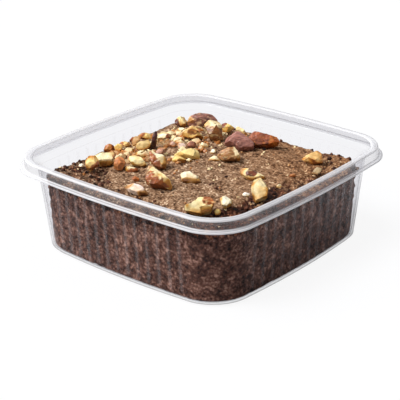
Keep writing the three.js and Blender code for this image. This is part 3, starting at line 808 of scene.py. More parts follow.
        # A ring on the plain wall that only carries a painted reflection line of the ledge.
        outside += [(*self.wall(self.reflection_line_z, 0)[:3], self.painted_reflection_line)]
        outside += [self.wall(z, 0) for z in (self.reflection_line_z + 0.3, ledge - 1.2)]
        inside = [self.wall(z, sheet) for z in (ledge - 1.3, *self.wall_rows[::-1])]
        rim = under_rim + rolled_flange + lip_wall + lip_top + ledge_inside
        low, rim, floor = (
            [(z, line[0] + out, line[1] + rounder, haze_and_light) for z, line, out, rounder, haze_and_light in part]
            for part in (low, rim, floor))
        return low + outside + rim + inside + floor

    def press_ribs(self, shell: bpy.types.Object, material: bpy.types.Material) -> None:
        """Push the ribs out of the walls with Geometry Nodes.

        The walls that face Y have a rib in the middle, and the walls that face X a gap. The
        milkiness rises along each crest, as painted highlight streaks.

        Args:
            shell: Smooth shell with the attributes "along" and "outward".
            material: Material that the tree sets.
        """
        recipe = NodeRecipe("Pressed ribs", self.ribs)
        tree = recipe.tree
        along = recipe.named("along")
        outward = recipe.named("outward", "FLOAT_VECTOR")
        face_x = recipe.math("ABSOLUTE", add(
            tree, "ShaderNodeSeparateXYZ", {0: outward}).outputs["X"])
        wider = recipe.math(
            "SUBTRACT", recipe.value("Pitch facing X"), recipe.value("Pitch facing Y"))
        pitch = recipe.math("MULTIPLY_ADD", face_x, wider, recipe.value("Pitch facing Y"))
        half_pitch = recipe.math("MULTIPLY", pitch, 0.5)
        under = recipe.math("MULTIPLY", half_pitch, -1.0)
        shifted = recipe.math("MULTIPLY_ADD", face_x, half_pitch, along)
        offset = recipe.math("ABSOLUTE", recipe.math("WRAP", shifted, half_pitch, under))
        crest = recipe.math("MULTIPLY", recipe.value("Crest"), 0.5)
        root = recipe.math("MULTIPLY", recipe.value("Width"), 0.5)
        across = ranged(tree, offset, (crest, root), (1.0, 0.0),
                        interpolation_type="SMOOTHSTEP")
        inside = recipe.math(
            "LESS_THAN", recipe.math("ABSOLUTE", along), recipe.value("Reach"))
        position = add(tree, "GeometryNodeInputPosition")
        height = add(tree, "ShaderNodeSeparateXYZ", {0: position.outputs[0]}).outputs["Z"]
        low, high = recipe.value("Low"), recipe.value("High")
        rise = recipe.math("ADD", low, recipe.value("Run-out"))
        fall = recipe.math("SUBTRACT", high, recipe.value("Run-out"))
        window = recipe.math("MULTIPLY", ranged(tree, height, (low, rise)),
                             ranged(tree, height, (high, fall)))
        amount = recipe.math("MULTIPLY", across, window)
        amount = recipe.math("MULTIPLY", amount, inside)
        # Painted highlight: the milkiness rises along each rib's crest, for the glints on the
        # ribs.
        haze_and_light_value = recipe.math("MULTIPLY_ADD", amount, recipe.value("Crest highlight"), recipe.named("haze_and_light"))
        streaked = add(tree, "GeometryNodeStoreNamedAttribute", {
            "Geometry": recipe.value("Geometry"), "Name": "haze_and_light", "Value": haze_and_light_value})
        amount = recipe.math("MULTIPLY", amount, recipe.value("Depth"))
        push = add(tree, "ShaderNodeVectorMath", {0: outward, "Scale": amount}, operation="SCALE")
        moved = add(tree, "GeometryNodeSetPosition", {
            "Geometry": streaked.outputs[0], "Offset": push.outputs[0]})
        recipe.finish(moved.outputs[0], material)
        recipe.apply(shell)

    def build(self, plastic: bpy.types.Material) -> bpy.types.Object:
        """Build the tub in place of the CAD tub.

        Args:
            plastic: Material of the sheet.

        Returns:
            The finished piece.
        """
        rings, haze_and_light = [], []
        for z, half, radius, haze_and_light_value in self.profile():
            flat = self.outline.ring(half, radius, self.steps_per_side)
            rings.append(np.column_stack([flat, np.full(len(flat), z)]))
            haze_and_light.append(np.full(len(flat), haze_and_light_value))
        number = np.arange(4 * self.steps_per_side) // self.steps_per_side
        facing = np.stack([np.array(FACING_X)[number], np.array(FACING_Y)[number]], 1)
        along = [ring[:, 1] * facing[:, 0] - ring[:, 0] * facing[:, 1] for ring in rings]
        vertices, faces = loft(rings, np.zeros(3), np.array([0, 0, self.base_thickness]))
        shell = mesh_object("tub_shell", vertices, faces, plastic)
        pad = np.zeros(1)
        paint(shell, "along", np.concatenate([pad, *along, pad]) * MM)
        paint(shell, "haze_and_light", np.concatenate([pad, *haze_and_light, pad]))
        outward = np.tile(np.column_stack([facing, np.zeros(len(facing))]), (len(rings), 1))
        paint(shell, "outward", np.concatenate([np.zeros((1, 3)), outward, np.zeros((1, 3))]))
        self.press_ribs(shell, plastic)
        shell.data.shade_smooth()
        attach(shell, BODY)
        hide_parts("tub")
        return shell


@dataclass
class Brownie:
    """Slab of brownie that fills the tub, with a dry crust and torn, crumbly edges."""

    tub: Tub
    clearance: float = 0.35
    crust_z: float = 32.2
    back_slump: float = 2.6
    front_slump: float = 0.6
    corner_lift: float = 3.2
    corner_pull: float = 1.1
    half_steps: int = 96
    side_rows: int = 44
    rim_z: float = 29.0
    rim_inset: float = 3.6
    crust_half: float = 48.0
    torn_edge: float = 3.0
    torn_right: float = 14.5
    torn_left: float = 16.0
    torn_front: float = 10.0
    shoulder: tuple[tuple[float, float], ...] = (
        (-2.8, 0.0), (-2.1, 0.25), (-1.5, 0.7), (-1.0, 1.3), (-0.6, 2.0), (-0.25, 3.0))
    ragged: Layers = ((1.6, 6.0, 12), (1.2, 2.2, 13))
    pimples: Layers = ((0.22, 3.4, 21), (0.2, 1.4, 22))
    pit_depth: float = 0.55
    coarse: Layers = ((1.7, 3.2, 24), (0.8, 1.7, 25))
    torn_depth: float = 0.7
    fray: Layers = ((0.5, 2.0, 31), (0.3, 1.1, 32))
    fray_share: float = 0.8
    foot_lift: float = 0.8
    foot: tuple[tuple[float, float], ...] = ((0.5, 0.15), (0.2, 0.4), (0.0, 0.9))

    def crust_height(self, x: np.ndarray, y: np.ndarray) -> np.ndarray:
        """Height of the crust, the same rule as in the CAD model.

        Args:
            x: Places across, in millimetres.
            y: Places along, in millimetres.

        Returns:
            Heights in millimetres.
        """
        reach = self.tub.base_half + 1
        back = smoothstep(0.5, 1, np.maximum(-x, y) / reach)
        front = smoothstep(0.6, 1, np.maximum(x, -y) / reach)
        corner = smoothstep(0.45, 0.95, np.minimum(np.abs(x), np.abs(y)) / reach)
        corner = np.where(x * y > 0, corner, corner * 0.15)
        relief = 0.4 * lumps(x / 6, y / 6, 0, 1.3) + 0.25 * lumps(x / 2.3, y / 2.3, 0, 4.1)
        lowered = self.crust_z - self.back_slump * back - self.front_slump * front
        return lowered + self.corner_lift * corner + relief

    def side_ring(self, z: float, inset: float) -> np.ndarray:
        """Outline of the crumb at one height, pulled in at the left and right corners."""
        half = self.tub.wall_half(z) - self.tub.sheet - self.clearance
        radius = self.tub.wall_radius(z) - self.tub.sheet
        ring = self.tub.outline.ring(half, radius, 2 * self.half_steps)
        x, y = ring[:, 0], ring[:, 1]
        reach = np.hypot(x, y)
        corner = smoothstep(0.62, 0.8, np.minimum(np.abs(x), np.abs(y)) / half)
        uneven = 0.8 + 0.3 * lumps(x, y, z / 3, 2.2)
        rising = float(smoothstep(0.0, 26.0, np.array([z]))[0])
        pull = np.where(x * y > 0, self.corner_pull * rising * corner * uneven, 0.0)
        solid = np.column_stack([ring, np.full(len(ring), z)])
        rough = 0.14 * (1 + grain(solid, 2.6, 3)) + 0.12 * (1 + grain(solid, 1.1, 4))
        rough += 0.6 * smoothstep(0.4, 0.8, grain(solid, 3.0, 5))
        crumbs = corner * np.where(x * y > 0, 0.6 * rising, 0.0) * (1 + grain(solid, 1.6, 6))
        return ring * ((reach - inset - pull - rough - crumbs) / reach)[:, None]

    def torn(self, x: np.ndarray, y: np.ndarray, edge: np.ndarray) -> np.ndarray:
        """How far the crust is broken away, 0 on the crust and 1 at the torn edge.

        Args:
            x: Places across, in millimetres.
            y: Places along, in millimetres.
            edge: Distance from the slab's edge in millimetres.

        Returns:
            One share for each place.
        """
        flat = np.column_stack([x, y, np.zeros(len(x))])
        ragged = layered(flat, self.ragged)
        # Where the strip is wide, in millimetres from the slab's middle.
        near_right = smoothstep(20, 32, x) * (0.6 + 0.4 * smoothstep(28, -4, y))
        left = smoothstep(8, 24, -x) * smoothstep(14, 28, -y)
        front = smoothstep(14, 30, -y) * smoothstep(48, 30, x)
        width = self.torn_edge + np.maximum(
            np.maximum(self.torn_right * near_right, self.torn_left * left),
            self.torn_front * front)
        return smoothstep(width + 0.8, width - 0.8, edge + ragged)

    def bared_and_shaded(self, x: np.ndarray, y: np.ndarray, torn: np.ndarray) -> np.ndarray:
        """Share of dark crumb where the crust is torn, least far off and most at the near right,
        there partly as painted shade.
        """
        # Painted shade: more dark crumb at the near right, the side away from the key light.
        right = smoothstep(24, 36, x) * smoothstep(6, -8, y)
        left = smoothstep(6, 22, -x) * smoothstep(18, 30, -y)
        far = smoothstep(6, 20, y)
        return torn * (0.5 - 0.14 * far + np.maximum(0.5 * right, 0.05 * left))

    def spread(self) -> tuple[np.ndarray, np.ndarray, np.ndarray]:
        """Stretch a square grid so that its border follows the rim of the crust.

        Returns:
            Places across and along, and distance from the slab's edge.
        """
        half = self.half_steps
        numbers = np.arange(-half, half + 1)
        column, row = (part.ravel() for part in np.meshgrid(numbers, numbers, indexing="ij"))
        ring = np.maximum(np.abs(column), np.abs(row))
        safe = np.maximum(ring, 1)
        u, v = column / safe, row / safe
        place = np.zeros(len(u))
        place = np.where((u == 1) & (v < 1), (v + 1) / 2, place)
        place = np.where((v == 1) & (u > -1), 1 + (1 - u) / 2, place)
        place = np.where((u == -1) & (v > -1), 2 + (1 - v) / 2, place)
        place = np.where((v == -1) & (u < 1), 3 + (u + 1) / 2, place)
        rim = self.side_ring(self.rim_z, self.rim_inset)
        closed = np.concatenate([rim, rim[:1]])
        steps = np.arange(len(closed))
        x, y = (np.interp(place * 2 * half, steps, closed[:, axis]) * ring / half
                for axis in (0, 1))
        return x, y, (1 - ring / half) * self.crust_half + self.rim_inset

    def surface(self) -> tuple[np.ndarray, list[Sequence[int]], np.ndarray]:
        """Lay out the whole slab.

        Returns:
            Vertices, faces and the share of crust at each vertex.
        """
        x, y, edge = self.spread()
        torn = self.torn(x, y, edge)
        z = self.crust_height(x, y) + self.crust_relief(x, y, torn)
        top = np.column_stack([x, y, z])
        across = 2 * self.half_steps + 1
        number = np.arange(across * across).reshape(across, across)
        faces = np.stack([number[:-1, :-1], number[1:, :-1], number[1:, 1:], number[:-1, 1:]],
                         axis=-1).reshape(-1, 4).tolist()
        above = np.concatenate([number[-1, :-1], number[:0:-1, -1], number[0, :0:-1],
                                number[:-1, 0]])
        rings, shares = self.side_rings()
        count = len(above)
        vertices = np.concatenate([top, *rings, [[0, 0, rings[-1][0, 2]]]])
        crust = np.concatenate([1 - 0.5 * self.bared_and_shaded(x, y, torn), *shares, [0]])
        for index in range(len(rings)):
            below = len(top) + index * count + np.arange(count)
            faces += np.stack([above, below, np.roll(below, -1), np.roll(above, -1)],
                              axis=-1).tolist()
            above = below
        pole = len(vertices) - 1
        faces += [(pole, b, a) for a, b in zip(above, np.roll(above, -1))]
        return vertices, faces, crust

    def crust_relief(self, x: np.ndarray, y: np.ndarray, torn: np.ndarray) -> np.ndarray:
        """Fine height of the crust: pimples and pits, and coarse crumb where it is torn."""
        flat = np.column_stack([x, y, np.zeros(len(x))])
        pits = smoothstep(0.4, 0.75, grain(flat, 1.8, 23))
        crust = layered(flat, self.pimples) - self.pit_depth * pits
        crumb = sum(height * (0.45 - chips(flat, size, seed))
                    for height, size, seed in self.coarse) - self.torn_depth
        return crust * (1 - torn) + crumb * torn

    def side_rings(self) -> tuple[list[np.ndarray], list[np.ndarray]]:
        """Rings from the crust's shoulder down the sides and under the slab.

        Returns:
            Rings and the share of crust on each.
        """
        rings, shares = [], []
        for drop, inset in reversed(self.shoulder):
            flat = self.side_ring(self.rim_z, inset)
            x, y = flat[:, 0], flat[:, 1]
            torn = self.torn(x, y, np.full(len(x), inset))
            solid = np.column_stack([x, y, np.full(len(x), drop * 2)])
            sunk = self.crust_height(x, y) + drop * (1 + 0.25 * torn)
            z = sunk + self.fray_share * layered(solid, self.fray)
            rings.append(np.column_stack([flat, z]))
            skin = smoothstep(-1.5, -0.4, np.full(len(x), drop))
            # The crust share drops where crumb is bared, and at the near right for painted shade.
            dry = 1 - 0.5 * self.bared_and_shaded(x, y, torn)
            shares.append(dry * skin + 0.5 * (1 - skin) * (drop > -2.5))
        bottom = self.tub.base_thickness + self.clearance
        top = rings[-1][:, 2]
        for number in range(1, self.side_rows + 1):
            share = number / self.side_rows
            level = top + (bottom + self.foot_lift - top) * share
            rings.append(np.column_stack([self.side_ring(float(level.mean()), 0.0), level]))
        for lift, inset in self.foot:
            flat = self.side_ring(bottom + lift, inset)
            rings.append(np.column_stack([flat, np.full(len(flat), bottom + lift)]))
        for shrink in (0.8, 0.45):
            rings.append(rings[-1] * np.array([shrink, shrink, 1.0]))
        shares += [np.zeros(len(ring)) for ring in rings[len(shares):]]
        return rings, shares

    def build(self, bake: bpy.types.Material) -> bpy.types.Object:
        """Build the slab in place of the CAD brownie.

        Args:
            bake: Material of crust and crumb.

        Returns:
            The finished piece.
        """
        vertices, faces, crust = self.surface()
        slab = mesh_object("brownie_slab", vertices, faces, bake)
        paint(slab, "crust", crust)
        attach(slab, BODY)
        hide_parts("brownie")
        return slab


class Skin(Enum):
    """Where a nut piece still has its brown skin."""

    NONE = "bare flesh"
    WHOLE = "skin all over"
    SIDE = "skin on one side"
    SPOT = "a patch of skin"


@dataclass(frozen=True)
class Nut:
    """One chopped piece, as seen from the near corner."""

    number: int
    at: tuple[float, float]
    size: tuple[float, float, float]
    lean: float
    edge: tuple[tuple[float, float], ...]
    flesh: str = "#e2c88e"
    skin: Skin = Skin.NONE
    where: tuple[float, ...] = ()
    shell: str = "#86461c"

    @property
    def name(self) -> str:
        """Name of the CAD node that this piece stands for."""
        return f"walnut_{self.number:02d}"

    def covered(self, x: np.ndarray, y: np.ndarray) -> np.ndarray:
        """Signed depth into the skin at places on the outline's plane.

        Args:
            x: Places along the length, in half lengths.
            y: Places along the height, in half heights.

        Returns:
            Positive under skin, negative on flesh.
        """
        if self.skin is Skin.WHOLE:
            return np.full(len(x), 0.5)
        if self.skin is Skin.SIDE:
            along, up, start = self.where
            return x * along + y * up - start
        if self.skin is Skin.SPOT:
            middle_x, middle_y, wide, high = self.where
            return 1 - np.hypot((x - middle_x) / wide, (y - middle_y) / high)
        return np.full(len(x), -1.0)


NUTS = (
    Nut(1, (-42, 34), (5.4, 4.8, 4), 60, ((-.95, .3), (-.35, .95), (.7, .95), (1, 0),
        (.9, -.95), (0, -1), (-.9, -.4)), "#e0c486", Skin.SIDE, (-1, -.3, .3), "#5a2c18"),
    Nut(2, (-32, 38), (14, 6.4, 6.6), 40, ((-1, -.4), (-.9, .3), (-.5, .8), (0, 1), (.5, .8),
        (.9, .1), (1, -.5), (.3, -1), (-.6, -1)), "#d9b98a", Skin.SIDE, (1, 0, -.8), "#7a4f42"),
    Nut(3, (-16, 26.5), (8.7, 9.4, 5.5), 48, ((-1, .5), (-.7, .8), (-.1, 1), (.55, .9),
        (.85, .4), (.8, -.3), (.95, -1), (-.4, -.9), (-.55, -.4)), "#e0c78f", Skin.SIDE,
        (-.2, -1, -.25), "#7a4a20"),
    Nut(4, (-24, 21.5), (9.5, 6.3, 4.5), 60, ((-1, -.1), (-.45, .6), (0, 1), (.4, .8),
        (.65, 0), (1, -.7), (.7, -1), (-.3, -.7), (-.9, -.5)), "#d8ac5e", Skin.SPOT,
        (.05, .1, .5, .5), "#8a5422"),
    Nut(5, (-35.5, 27.5), (3.8, 2.2, 2.5), 45, ((-1, .6), (.2, 1), (1, .2), (.4, -1),
        (-.7, -.7)), "#e6d3a2"),
    Nut(6, (-30, 3), (3.4, 8.4, 3), 72, ((-.4, .4), (-.1, .8), (.4, 1), (1, .8), (.8, .1),
        (.6, -.5), (0, -1), (-.9, -.8)), "#6a3a22", Skin.WHOLE, (), "#3a1712"),
    Nut(7, (-34.5, 14.5), (6.2, 3.4, 3.5), 45, ((-.9, .6), (-.5, 1), (.5, 1), (1, .3),
        (.8, -.5), (-.2, -1), (-1, -.4)), "#e8d4a4", Skin.SIDE, (1, -.2, .35), "#7e4228"),
    Nut(8, (-45, 13), (7.1, 3.3, 3), 50, ((-1, .2), (-.5, .8), (.1, 1), (.9, .8), (1, -.8),
        (.5, -.9), (-.4, -.5)), "#ddb768", Skin.SIDE, (-1, .2, 0), "#8a4e22"),
    Nut(9, (-33, -.5), (7.1, 4.8, 4), 55, ((-.9, -.7), (-.9, .1), (-.4, .6), (.2, .7),
        (.6, 1), (.95, .2), (.8, -.6), (.2, -1), (-.5, -1)), "#d2b070"),
    Nut(10, (-39.5, 2), (4.1, 5.8, 2.5), 65, ((-1, 0), (-.3, .95), (1, .8), (.8, .3),
        (.1, -.1), (-.1, -.8), (-.5, -1)), "#c79c66"),
    Nut(11, (-45, 0), (5.4, 2.8, 3), 50, ((-1, -.3), (-.5, .7), (.3, 1), (1, .2), (.6, -.9),
        (-.5, -1)), "#dcb46a", Skin.SPOT, (-.5, .3, .5, .6), "#9a5a26"),
    Nut(12, (-47, 8), (3.8, 2.4, 3), 50, ((-1, 0), (-.2, 1), (.8, .7), (1, -.4), (0, -1)),
        "#a8703a", Skin.SIDE, (-1, .3, .1), "#7c4020"),
    Nut(13, (-46.5, -8), (4.8, 3.6, 3.5), 55, ((-1, -.6), (-.6, .6), (.2, 1), (1, .5),
        (.9, -.6), (0, -1)), "#b97a3c", Skin.SIDE, (-.6, .6, .2), "#84441e"),
    Nut(14, (-42.5, -6.5), (4, 3.8, 3), 55, ((-.9, .3), (-.1, 1), (1, .5), (.7, -.7),
        (-.4, -1)), "#e0b766"),
    Nut(15, (-33, -25), (10, 6, 5), 48, ((-1, 0), (-.9, .5), (-.3, .8), (.85, 1), (1, .4),
        (.8, -.5), (.4, -.9), (-.1, -1), (-.7, -.4)), "#e4cf98", Skin.SIDE, (1, -.1, .8),
        "#6e3518"),
    Nut(16, (-31.5, -33), (5.9, 7, 4), 50, ((-1, .3), (-.5, .9), (.4, 1), (.9, .4),
        (1, -.2), (.3, -.5), (-.2, -1), (-.8, -.6)), "#dfb76c", Skin.SIDE, (.6, -.7, .3),
        "#925022"),
    Nut(17, (-40.5, -30.5), (2.6, 1.9, 2.5), 45, ((-1, 0), (0, 1), (1, .2), (.5, -1),
        (-.6, -.9)), "#ead9b4"),
    Nut(18, (-24, -24.5), (5.4, 5.9, 4), 60, ((-1, -.5), (-.8, .6), (-.2, 1), (.5, .8),
        (1, .1), (.6, -.4), (.3, -1), (-.4, -1)), "#c4844c", Skin.WHOLE, (), "#a9683a"),
    Nut(19, (-19.5, -22.5), (5.8, 2.7, 2.5), 50, ((-1, .2), (-.6, 1), (.2, .6), (1, 0),
        (.9, -1), (-.6, -1)), "#e4cc96", Skin.SIDE, (.5, -.6, 0), "#8c4a1e"),
    Nut(20, (-21, -17), (7.6, 4.6, 4), 50, ((-1, .2), (-.9, .9), (-.3, 1), (.4, .6),
        (.7, 0), (1, -.7), (.5, -1), (-.6, -.7)), "#e6d094"),
    Nut(21, (-26, -10), (5.6, 3.9, 2.5), 45, ((-1, .8), (-.2, 1), (.3, .3), (.9, -.2),
        (1, -.9), (.3, -.8), (-.5, 0)), "#e4cc90", Skin.SIDE, (-.6, -.8, .35), "#9c6430"),
    Nut(22, (-36.5, -5.5), (5.2, 2.6, 2.5), 45, ((-1, -.2), (-.4, .9), (.6, 1), (1, 0),
        (.4, -1), (-.6, -.9)), "#dcbc80"),
    Nut(23, (-13, -13), (7.5, 8.4, 4.5), 46, ((-1, .7), (-.7, 1), (-.2, .6), (.5, .5),
        (1, 0), (.8, -.9), (0, -.9), (-.6, -.5), (-.95, 0)), "#e6d2a0", Skin.SIDE,
        (-.8, -.55, .05), "#86461c"),
    Nut(24, (1.5, -28.5), (10.8, 11, 5), 38, ((-1, .9), (-.6, 1), (-.3, .6), (.3, .1),
        (.8, -.4), (1, -.8), (.8, -1), (0, -.8), (-.6, -.7), (-1, -.4)), "#e2c88c",
        Skin.SIDE, (-.7, -.7, .12), "#86461c"),
    Nut(25, (-10.5, -29.5), (3.4, 2.6, 2), 40, ((-1, .4), (-.2, 1), (1, 0), (.6, -.9),
        (-.4, -.7)), "#b5682c", Skin.WHOLE, (), "#8f4e20"),
    Nut(26, (-1.5, -38.5), (9.9, 5.7, 3.5), 30, ((-1, .5), (-.8, .9), (-.4, .9), (.3, .3),
        (.7, -.2), (1, -.7), (.2, -1), (-.4, -.4)), "#d9c0a8"),
    Nut(27, (7, -15.5), (8.8, 5.6, 3.5), 32, ((-1, .5), (-.3, 1), (.2, .2), (.7, -.3),
        (1, -1), (.2, -1), (-.8, -.9)), "#d8c49c"),
    Nut(28, (-11, 2.5), (12.1, 5.1, 3.5), 38, ((-1, .2), (-.4, .3), (.1, .6), (.75, 1),
        (.9, .1), (1, -1), (.5, -.7), (0, -.5), (-.6, -.3)), "#e2c275"),
    Nut(29, (-10, -3.5), (6.1, 2.8, 3), 38, ((-1, 0), (-.6, .9), (.2, 1), (1, .2), (1, -.4),
        (.1, -1), (-.6, -.8)), "#e2bd6c"),
    Nut(30, (-8, .5), (3.2, 1.6, 2), 40, ((-1, 0), (0, 1), (1, .2), (.3, -1)), "#e2cc98"),
    Nut(31, (-27, 15.5), (5.1, 2.4, 2.5), 40, ((-1, -.9), (-.7, .3), (0, 1), (.7, .5),
        (1, -.7), (0, -.8)), "#e4cf9c"),
    Nut(32, (-24, 8.5), (3.6, 2.8, 3), 50, ((-1, .2), (0, 1), (1, .1), (.5, -1),
        (-.7, -.8)), "#c8a088"),
    Nut(33, (-19.5, 9.5), (4, 3, 3), 50, ((-.9, .8), (.3, 1), (1, 0), (.9, -.8), (-.3, -1),
        (-1, -.2)), "#d8b89c"),
    Nut(34, (-22.5, -1), (4.7, 3, 3.5), 50, ((-1, 0), (-.5, .8), (.4, 1), (1, 0), (.5, -.9),
        (-.5, -1)), "#a87c62", Skin.WHOLE, (), "#94664e"),
    Nut(35, (-18, 14), (4, 3.2, 3), 50, ((-1, .3), (-.2, 1), (.9, .6), (1, -.6), (0, -1),
        (-.8, -.6)), "#a8705a", Skin.WHOLE, (), "#86523c"),
    Nut(36, (-14, 17.5), (4.6, 2.6, 2.5), 45, ((-1, 0), (-.4, 1), (.2, .4), (1, .7),
        (.8, -1), (-.5, -1)), "#e0cba0"),
    Nut(37, (-6, 14), (2.8, 2.3, 2.5), 50, ((-1, -.2), (-.2, 1), (.9, .8), (.8, -.8),
        (-.3, -1)), "#e6d6b0"),
    Nut(38, (0, 8), (6.1, 2.3, 2.5), 35, ((-1, -.8), (-.7, .3), (-.2, 1), (.3, .5),
        (1, -.2), (.8, -1)), "#e4cfa0"),
    Nut(39, (5, 11), (10, 5.6, 5), 48, ((-1, -.2), (-.7, .5), (-.2, .9), (.5, 1), (.8, .2),
        (1, -.8), (.5, -1), (-.4, -1), (-.8, -.6)), "#dfc48e", Skin.SIDE, (-1, -.2, -.5),
        "#8f6238"),
    Nut(40, (-19, 40), (6.2, 5.5, 4), 58, ((-.9, .9), (-.3, 1), (.4, .5), (1, .1),
        (.4, -.3), (-.6, -1), (-.9, 0)), "#d5b060", Skin.SIDE, (-.6, .8, .6), "#6a3620"),
    Nut(41, (-1, 25.5), (13.1, 9.4, 6), 32, ((-.9, .4), (-.5, .8), (-.2, 1), (.2, .7),
        (.7, 0), (1, -.5), (.9, -.9), (0, -.9), (-.5, -.4), (-1, -.2)), "#a87868",
        Skin.WHOLE, (), "#8a5a4e"),
    Nut(42, (5, 34.5), (14.4, 7.6, 6), 36, ((-1, .4), (-.6, 1), (-.2, .9), (.3, .6),
        (.8, .3), (1, -.4), (.7, -.7), (.2, -.9), (-.4, -1), (-.8, -.4)), "#c07a38",
        Skin.SIDE, (-1, .1, -.42), "#7e4228"),
    Nut(43, (-13.5, 42.5), (5.4, 4.8, 3), 55, ((-.9, .9), (-.4, 1), (.4, .5), (1, -.4),
        (.7, -1), (-.1, -.5), (-.8, .2)), "#e0c48a"),
    Nut(44, (34, 30), (9.2, 6, 4), 45, ((-.95, .1), (-.3, .4), (.1, .7), (.5, 1), (.9, .5),
        (1, -.9), (.1, -1), (-.3, -.6), (-.7, -.4)), "#cfa564", Skin.SIDE, (1, 0, .8),
        "#8a5226"),
    Nut(45, (25.5, 2), (11.5, 5.9, 3), 38, ((-1, .6), (-.8, 1), (-.1, .5), (.5, 0),
        (1, -.7), (.4, -.7), (-.1, -.9), (-.6, -.5), (-.9, 0)), "#e0c68c", Skin.SPOT,
        (-.2, .05, .45, .6), "#5c2c16"),
    Nut(46, (40, -13), (6.8, 9.8, 5), 40, ((-.6, 1), (.2, 1), (.8, .7), (1, .3), (.8, -.6),
        (.1, -.8), (-.5, -1), (-.8, -.5), (-1, .2), (-.9, .6)), "#d8be86"),
    Nut(47, (35, -27.5), (5.1, 5.1, 4), 55, ((-1, .6), (-.2, 1), (.9, .3), (1, -.2),
        (.6, -.6), (-.2, -1), (-.7, -.5)), "#e8d8ae"),
    Nut(48, (41.5, 23), (4.7, 3.9, 2.5), 35, ((-1, -.8), (-.4, .4), (.4, 1), (1, .8),
        (.7, -.2), (0, -1)), "#a5895e"),
    Nut(49, (31, -38.5), (11.3, 6.9, 6), 50, ((-1, 0), (-.6, .1), (-.3, .5), (0, 1),
        (.4, 1), (.8, .8), (1, .2), (.7, -.8), (.1, -1), (-.6, -.7), (-1, -.5)), "#e4cc90",
        Skin.SPOT, (.62, .5, .42, .65), "#8c4a1e"),
    Nut(50, (36.5, -34.5), (2.6, 2.6, 2.5), 50, ((-1, .4), (0, 1), (1, .3), (.5, -1),
        (-.7, -.8)), "#e4c676"),
    Nut(51, (33.5, -13.5), (3.3, 1.8, 2), 45, ((-1, 0), (-.3, 1), (1, .4), (.6, -1),
        (-.6, -.8)), "#e6d8ba"),
    Nut(52, (38.5, 1.5), (2.2, 2, 2), 45, ((-1, .3), (.2, 1), (1, 0), (.2, -1),
        (-.8, -.6)), "#e6d3a4"),
    Nut(53, (36, 14), (3.2, 1.6, 2), 45, ((-1, -.4), (-.2, 1), (1, .5), (.7, -1),
        (-.5, -1)), "#b5713a"),
)


